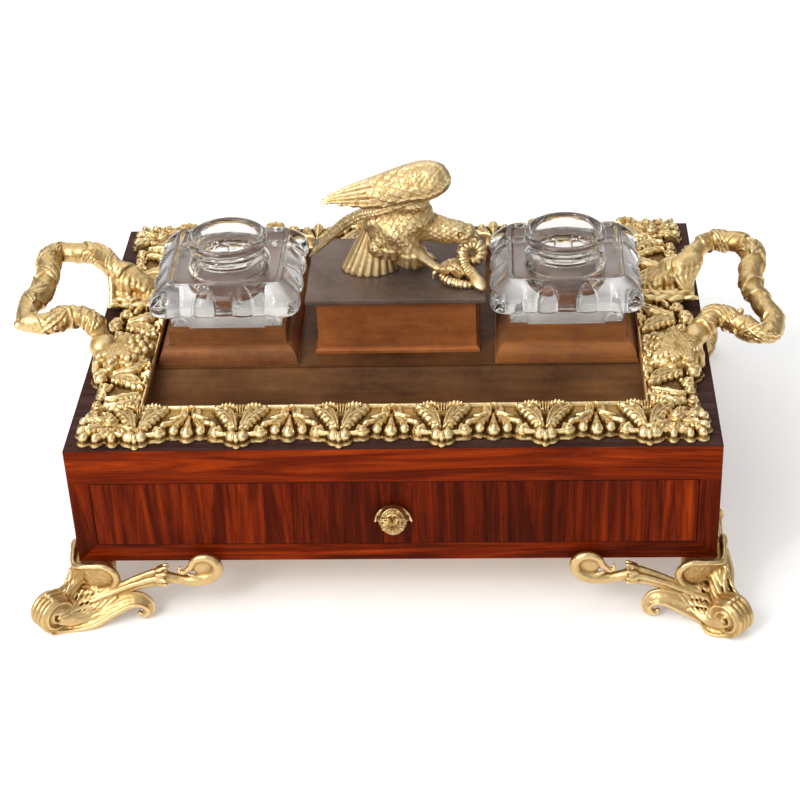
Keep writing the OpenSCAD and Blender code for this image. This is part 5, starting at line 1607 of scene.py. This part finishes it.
def make_knob(h):
    """A bud of overlapping leaves. Worked with the axis upwards and turned to face forwards."""
    vol = Vol((-11.8, -11.8, -0.4), (11.8, 11.8, 15.4), h)
    vol.cone((0, 0, 0), (0, 0, 6), 4.6, 4.8, 0)
    vol.cone((0, 0, 1.0), (0, 0, 1.6), 6.4, 6.0, 0.5)

    def bud(x, y, z):
        X, Y = np.broadcast_arrays(x[:, :, 0], y[:, :, 0])
        Y = Y - 2.2
        u, w = X, Y - 2.4
        phi, r2 = np.arctan2(u, -w), np.hypot(u, w)
        # leaves fanning down and out, in two tiers
        rel = np.zeros(X.shape)
        for n, off, reach, lift in ((7, 0.5, 8.6, 0.0), (7, 0.0, 5.4, 0.8)):
            k = phi / (2 * np.pi / (n * 1.35)) + off
            f = (k - np.floor(k) - 0.5) * 2
            blade = np.clip(1 - f * f, 0, 1) ** 0.6
            h1 = lift + 0.55 * blade + 0.34 * np.exp(-((f / 0.13) ** 2)) - 0.30 * np.exp(-(((np.abs(f) - 0.45) / 0.13) ** 2))
            inside = r2 < reach + 0.9 - 1.9 * f * f
            rel = np.where(inside & (r2 > 1.5), np.maximum(rel, h1 * np.clip((r2 - 1.2) / 1.4, 0, 1)), rel)
        rel = np.where(Y > 3.0, 0.35 * rel, rel)
        # a hood of two arches above, with a heart in it
        rho = np.hypot(X, Y - 0.4)
        up = np.clip((Y - 0.2) / 1.4, 0, 1)
        for q, wd, ht in ((4.9, 0.55, 0.9), (6.9, 0.75, 0.8)):
            rel = np.maximum(rel, ht * np.exp(-(((rho - q) / wd) ** 2)) * up)
        d = np.minimum(np.hypot(np.abs(X) - 1.15, Y - 3.4) - 1.15, 9)
        v = np.abs(np.abs(X) * 0.62 - (Y - 0.3) * 0.5) + 3 * ((Y < 0.1) | (Y > 3.6))
        heart = np.minimum(np.abs(d) + 3 * (Y < 3.2), v)
        rel = np.maximum(rel, 0.9 * np.exp(-((heart / 0.42) ** 2)))
        inside = ((np.abs(X) * 0.62 < (Y - 0.3) * 0.5) & (Y < 3.6)) | (d < 0)
        rel = np.where(inside, rel - 0.5, rel)
        for hx, hy in ((-2.9, 2.6), (-3.9, 2.3), (3.6, 1.4)):
            rel = rel - 0.9 * np.exp(-(np.hypot(X - hx, (Y - hy) * 0.7) / 0.45) ** 2)
        zc = z - 7.6
        q0 = np.sqrt((x * (1 + 0.022 * np.clip(-y, 0, 8)) / 8.1) ** 2 + (y / 8.1) ** 2 + (zc / np.where(zc > 0, 6.0, 13.0)) ** 2)
        face = (q0 - 1) * 6.6
        return (face - 1.5 * rel[:, :, None] * np.clip((z - 2.6) / 2.0, 0, 1)) * 0.75

    vol.fn((-11.6, -11.6, 1.0), (11.6, 11.6, 15.2), bud, 0.3)
    for sd in (-1, 1):  # a leaf curling down each side, and a bead on top
        vol.tube(spline([(sd * 4.4, 7.2, 4.4, 0.8), (sd * 7.2, 4.9, 4.4, 1.25), (sd * 8.9, 1.6, 4.0, 1.2), (sd * 10.3, -1.8, 3.4, 0.6)], 0.5), 0.5)
    vol.ell((0, 8.3, 4.6), (1.8, 1.0, 1.3), k=0.4)
    vol.ell((0, 1.8, 3.6), (9.0, 7.3, 3.4), k=0.6)
    vol.cut_below(0.05)
    p, t, q, small, wide = vol.mesh()
    # up becomes forwards (-y), and the pattern's y the height
    p = np.stack([0.82 * p[:, 0], -104.0 - 0.66 * p[:, 2], 53.6 + 0.86 * p[:, 1]], 1)
    ob = place("knob_bud", (p, t, q, small, wide), GILT_FOOT, "drawer")
    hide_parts("drawer_knob", "knob_collar")


# ---------------------------------------------------------------- inkwells


def inkwell_rows():
    """(half width, height, squareness, lobes, base) from the middle of the foot round to the middle of the well."""
    rows = []

    def run(a, b, n, skip=True):
        for i in range(1 if skip else 0, n + 1):
            t = i / n
            rows.append(tuple(a[j] + (b[j] - a[j]) * t for j in range(5)))

    def arcs(pts, n):
        for a, b in zip(pts[:-1], pts[1:]):
            run(a, b, n)

    rows.append((0.05, 0.02, 2.0, 0, 0))
    arcs([(0.05, 0.02, 2, 0, 0), (12, 0.02, 2, 0, 0), (18, 0.02, 4, 0, 0.0), (22, 0.0, 8, 0, 0.0), (26.6, 0.0, 14, 0, 1), (27.3, 0.16, 15, 0, 1), (27.9, 0.7, 15, 0, 1)], 2)
    arcs([(27.9, 0.7, 15, 0, 1), (28.0, 7.4, 15, 0, 1)], 12)
    arcs([(28.0, 7.4, 15, 0, 1), (28.4, 8.2, 14, 0.05, 0.5), (30.0, 9.0, 13, 0.2, 0), (33.4, 9.9, 12, 0.5, 0), (35.6, 10.7, 11, 0.8, 0), (36.4, 11.5, 10.5, 0.95, 0), (36.75, 12.6, 10, 1, 0), (36.7, 14.6, 10, 1, 0), (36.3, 16.4, 10, 1, 0)], 3)
    arcs([(36.3, 16.4, 10, 1, 0), (35.2, 18.4, 10, 0.95, 0), (33.2, 20.6, 11, 0.85, 0), (31.0, 22.6, 12, 0.6, 0), (29.0, 24.1, 13, 0.2, 0), (28.2, 24.6, 14, 0, 0)], 4)
    arcs([(28.2, 24.6, 14, 0, 0), (28.0, 25.1, 15, 0, 0), (27.6, 25.35, 15, 0, 0), (26.2, 25.35, 15, 0, 0), (25.7, 25.2, 15, 0, 0), (25.2, 24.6, 14, 0, 0)], 2)
    arcs([(25.2, 24.6, 14, 0, 0), (22, 24.55, 5, 0, 0), (19, 24.6, 2.6, 0, 0), (17.4, 24.8, 2, 0, 0), (16.8, 25.4, 2, 0, 0)], 4)
    arcs([(16.8, 25.4, 2, 0, 0), (16.7, 26.6, 2, 0, 0), (17.1, 28.4, 2, 0, 0), (18.2, 30.2, 2, 0, 0), (19.2, 31.8, 2, 0, 0), (19.55, 33.4, 2, 0, 0), (19.5, 34.8, 2, 0, 0), (19.0, 35.8, 2, 0, 0), (18.2, 36.35, 2, 0, 0), (17.3, 36.4, 2, 0, 0), (16.7, 36.1, 2, 0, 0)], 3)
    arcs([(16.7, 36.1, 2, 0, 0), (16.0, 34.6, 2, 0, 0), (15.5, 32.0, 2, 0, 0), (15.0, 29.0, 2, 0, 0), (14.6, 26.4, 2, 0, 0), (14.9, 24.6, 2, 0, 0), (16.6, 22.6, 2, 0, 0), (18.6, 20.4, 2.2, 0, 0), (19.8, 18, 2.4, 0, 0), (20.3, 14, 2.5, 0, 0), (20.0, 10.4, 2.4, 0, 0), (18.8, 7.8, 2.2, 0, 0), (16.6, 6.2, 2, 0, 0), (13, 5.7, 2, 0, 0), (6, 5.5, 2, 0, 0), (0.05, 5.45, 2, 0, 0)], 3)
    return np.array(rows)


def make_inkwell(name, node, body, cx, cy, base, seed):
    R = inkwell_rows()
    m = 4 * 140
    e = (np.arange(m) + 0.5) / m * 4
    side = np.floor(e).astype(int)
    t = (e - side) * 2 - 1
    # bunch the columns a little towards the corners
    t = np.sin(t * 0.96 * np.pi / 2) / math.sin(0.96 * np.pi / 2) * 0.35 + t * 0.65
    qx = np.choose(side, [t, 1 + 0 * t, -t, -1 + 0 * t])
    qy = np.choose(side, [-1 + 0 * t, t, 1 + 0 * t, -t])
    phi = np.arctan2(qy, qx)
    c, s = np.abs(np.cos(phi)), np.abs(np.sin(phi))
    verts, groove_glint = [], []
    rnd = Rand(seed)
    ph = rnd(0, 6)
    for w, z, n, lobe, foot in R:
        r = w / (c**n + s**n) ** (1 / n)
        x, y = r * np.cos(phi), r * np.sin(phi)
        zz = np.full(m, z)
        if lobe > 0 or foot > 0:
            face = (np.abs(x) > np.abs(y))
            lat = np.where(face, y, x)
            A = np.abs(lat)
            # two gadroons on each face and one at each corner, with flat flutes between
            hw = 4.9 * math.sqrt(min(1, max(0.02, (23.9 - z) / 6.8)))
            g1 = np.clip(1 - ((A - 9.2) / hw) ** 2, 0, 1) ** 0.7
            tri = np.clip((A - 21.5) / 4.5, 0, 1)
            g2 = np.sin(np.pi / 2 * tri)
            bump = 1.2 * g1 + 1.3 * g2
            line = np.exp(-(((np.abs(A - 9.2) - hw) / 0.5) ** 2)) + 0.6 * np.exp(-(((A - 20.4) / 0.8) ** 2))
            step = 1.1 * line
            out = lobe * (bump - step - 1.3)
            out = out + 0.12 * lobe * np.sin(lat * 0.35 + ph)
            if foot > 0:
                hollow = ((A - 22.4) / 4.3) ** 2 + (z / 6.4) ** 2
                out = out - foot * 1.7 * np.clip((1 - hollow) * 2.4, 0, 1) + foot * 0.35 * np.exp(-(((np.sqrt(hollow) - 1.12) / 0.1) ** 2))
            sx = np.where(face, np.sign(x), 0)
            sy = np.where(face, 0, np.sign(y))
            corner = np.clip((np.minimum(np.abs(x), np.abs(y)) - 0.80 * w) / (0.2 * w), 0, 1)
            dx = sx * (1 - corner * 0.5) + np.sign(x) * corner * 0.5 * (1 - face)
            dy = sy * (1 - corner * 0.5) + np.sign(y) * corner * 0.5 * face
            x, y = x + dx * out, y + dy * out
            zz = zz + lobe * 0.35 * g1 * np.clip((z - 14) / 6, 0, 1)
            # the groove lines, which the glass material tints white as a painted highlight
            cut = lobe * line * 0.9 + foot * 0.5 * np.exp(-(((np.sqrt(((A - 22.4) / 4.3) ** 2 + (z / 6.4) ** 2) - 1.12) / 0.1) ** 2))
        else:
            cut = np.zeros(m)
        groove_glint.append(np.clip(cut, 0, 1))
        verts.append(np.stack([x + cx, y + cy, zz + base], 1))
    k = len(R)
    P = np.concatenate(verts + [np.array([[cx, cy, base + R[0][1]], [cx, cy, base + R[-1][1]]])])
    i = np.arange(k - 1)[:, None] * m
    j = np.arange(m)[None, :]
    j2 = (j + 1) % m
    quads = np.stack([i + j, i + j2, i + m + j2, i + m + j], -1).reshape(-1, 4)
    j, j2 = j[0], j2[0]
    tris = np.concatenate([
        np.stack([np.full(m, k * m), j2, j], 1),
        np.stack([np.full(m, k * m + 1), (k - 1) * m + j, (k - 1) * m + j2], 1),
    ])
    # the ground-glass underside rows, which the glass material also tints warm brown as a painted reflection of the
    # stand
    under = np.zeros(len(P), F)
    rows_under = int(np.argmax(R[:, 1] > 0.4))
    under[: rows_under * m] = 1
    under[k * m] = 1
    ob = add_mesh(name, P, tris, quads, GLASS, body, {"ground": under, "groove_glint": np.concatenate(groove_glint + [np.zeros(2)]).astype(F)})
    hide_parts(node)
    print(f"    {name}: {len(tris) + 2 * len(quads)} triangles")


# ---------------------------------------------------------------- materials of the CAD nodes

GLASS = glass("lead_crystal")
W_FRONT = rosewood("rosewood_front_bands", "x", 0.04, 0.2, 1.0)
W_LOW = rosewood("rosewood_low_band", "x", 0.0, 0.2, 2.3)
W_DRAWER = rosewood("rosewood_drawer", "z", -0.03, 0.2, 3.1, 0.85)
W_STILE = rosewood("rosewood_stiles", "z", 0.0, 0.2, 4.2)
W_SIDE = rosewood("rosewood_sides", "y", -0.08, 0.22, 5.7)
W_TOP = rosewood("rosewood_top", "x", 0.0, 0.26, 6.1, 0.8, top=True)
W_BACK = rosewood("rosewood_back", "x", -0.03, 0.3, 7.9)
PINE_X = plain_wood("pine_x", "x", lin(196, 158, 108), lin(150, 108, 66), 0.62, 1)
PINE_Y = plain_wood("pine_y", "y", lin(192, 154, 106), lin(146, 106, 64), 0.62, 2)
MAHOG_X = plain_wood("mahogany_x", "x", lin(134, 72, 42), lin(88, 42, 24), 0.5, 3)
MAHOG_Y = plain_wood("mahogany_y", "y", lin(130, 70, 41), lin(86, 41, 24), 0.5, 4)
B_TRAY = bronze("bronze_tray", lin(66, 42, 25), lin(104, 68, 39), lin(136, 94, 55), 0.42, "x", 0.12)
B_BOX = bronze("bronze_box", lin(112, 62, 34), lin(164, 98, 54), lin(208, 128, 62), 0.40, "x", 0.15, 2)
B_STAND = bronze("bronze_stands", lin(92, 56, 34), lin(138, 88, 54), lin(182, 118, 62), 0.38, "x", 0.15, 3)
B_LID = bronze("bronze_lid", lin(80, 66, 58), lin(108, 92, 83), lin(130, 114, 104), 0.42, "n", 0.3, 4)
BRASS = fixings("brass", lin(206, 166, 92), lin(140, 100, 48), 0.34)
STEEL = fixings("steel", lin(120, 116, 112), lin(62, 56, 50), 0.42)

CAD_LOOKS = {
    "carcass_bottom": PINE_X, "carcass_left_side": PINE_Y, "carcass_right_side": PINE_Y, "carcass_back": PINE_X,
    "carcass_top": PINE_X, "front_lower_rail": PINE_X, "front_upper_rail": PINE_X, "drawer_runners": PINE_Y,
    "drawer_kickers": PINE_Y, "drawer_stops": PINE_X, "top_veneer": W_TOP, "front_top_veneer": W_FRONT,
    "front_bottom_veneer": W_LOW, "front_stile_veneers": W_STILE, "left_side_veneer": W_SIDE, "right_side_veneer": W_SIDE,
    "back_veneer": W_BACK, "bronze_tray": B_TRAY, "left_stand": B_STAND, "right_stand": B_STAND, "stand_screws": STEEL,
    "wafer_box": B_BOX, "wafer_box_screws": STEEL, "border_screws": BRASS, "handle_studs": BRASS, "handle_nuts": BRASS,
    "foot_screws": STEEL, "drawer_front": MAHOG_X, "drawer_front_veneer": W_DRAWER, "drawer_left_side": MAHOG_Y,
    "drawer_right_side": MAHOG_Y, "drawer_back": MAHOG_X, "drawer_bottom": PINE_X, "knob_stud": BRASS, "knob_nut": BRASS,
    "wafer_lid": B_LID, "figure_stud": BRASS, "figure_nut": BRASS,
}


def dress_cad():
    for node, mat in CAD_LOOKS.items():
        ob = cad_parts[node]
        for i in range(len(ob.material_slots)):
            ob.material_slots[i].material = mat
        if not ob.material_slots:
            ob.data.materials.append(mat)


# ---------------------------------------------------------------- stage


def make_stage():
    size = 3.0
    me = bpy.data.meshes.new("floor")
    n = 24
    v = [(-size + 2 * size * i / n, -size + 2 * size * j / n, 0) for j in range(n + 1) for i in range(n + 1)]
    f = [(j * (n + 1) + i, j * (n + 1) + i + 1, (j + 1) * (n + 1) + i + 1, (j + 1) * (n + 1) + i) for j in range(n) for i in range(n)]
    me.from_pydata(v, [], f)
    ob = bpy.data.objects.new("floor", me)
    bpy.context.scene.collection.objects.link(ob)
    m = Nodes("floor_paper")
    grain = m.noise(m.coords(), 120, 4, 0.6)
    col = m.ramp(grain, [(0.3, (0.90, 0.90, 0.90, 1)), (0.7, (0.94, 0.94, 0.94, 1))])
    me.materials.append(m.finish(Base_Color=col, Roughness=0.9, Normal=m.bump(grain, 0.03, 0.0005)))
    m.b.inputs["Specular IOR Level"].default_value = 0.1
    m.b.inputs["Emission Color"].default_value = (1, 1, 1, 1)
    m.b.inputs["Emission Strength"].default_value = 0.22


def make_world():
    w = bpy.data.worlds.new("studio")
    bpy.context.scene.world = w
    w.use_nodes = True
    t = w.node_tree
    t.nodes.clear()
    out = t.nodes.new("ShaderNodeOutputWorld")
    bg = t.nodes.new("ShaderNodeBackground")
    co = t.nodes.new("ShaderNodeTexCoord")
    sep = t.nodes.new("ShaderNodeSeparateXYZ")
    ramp = t.nodes.new("ShaderNodeValToRGB")
    t.links.new(co.outputs["Generated"], sep.inputs[0])
    add = t.nodes.new("ShaderNodeMath")
    add.operation = "MULTIPLY_ADD"
    add.inputs[1].default_value = 0.5
    add.inputs[2].default_value = 0.5
    t.links.new(sep.outputs["Z"], add.inputs[0])
    t.links.new(add.outputs[0], ramp.inputs[0])
    e = ramp.color_ramp.elements
    e[0].position, e[0].color = 0.42, (0.60, 0.60, 0.60, 1)
    e[1].position, e[1].color = 0.50, (0.22, 0.215, 0.21, 1)
    e.new(0.64).color = (0.26, 0.255, 0.25, 1)
    e.new(0.80).color = (0.55, 0.55, 0.55, 1)
    e.new(1.0).color = (0.75, 0.75, 0.75, 1)
    t.links.new(ramp.outputs[0], bg.inputs[0])
    bg.inputs[1].default_value = 0.85
    t.links.new(bg.outputs[0], out.inputs[0])


def make_lights():
    area("window", (-0.92, -0.92, 1.0), (0, 0, 0.06), 1.3, 16.6, (1.0, 0.99, 0.97))
    area("lamp_left", (-0.62, -0.95, 1.05), (0, 0, 0.06), 0.10, 3.4, (1.0, 0.99, 0.97), 0.55)
    area("lamp_right", (0.75, -0.95, 0.95), (0, 0, 0.06), 0.08, 0.6, (1.0, 0.99, 0.97), 0.45)
    area("overhead", (-0.1, 0.2, 1.6), (0, 0, 0.06), 2.0, 6.4, (1.0, 1.0, 1.0), 1.6)
    area("right", (1.05, -0.45, 0.7), (0, 0, 0.06), 0.7, 0.3, (1.0, 0.99, 0.97))
    area("back", (-0.25, 1.15, 0.75), (0, 0, 0.08), 1.3, 2.6, (1, 1, 1), 0.6)
    area("front_strip", (0.0, -1.35, 0.32), (0, 0, 0.06), 1.0, 1.4, (1, 0.99, 0.97), 0.35)


# ---------------------------------------------------------------- everything

H = 0.41

dress_cad()
make_border(H)
make_handle(1, H)
make_handle(-1, H)
make_feet()
make_eagle(0.32)
make_knob(0.2)
make_inkwell("inkwell_glass_left", "left_inkwell", "inkwell_left", -82.0, 4.6, 106.55, 3)
make_inkwell("inkwell_glass_right", "right_inkwell", "inkwell_right", 82.0, 4.6, 106.55, 8)
make_stage()
make_world()
make_lights()
make_camera()
bpy.context.scene.view_settings.view_transform = "Standard"
lap("scene")
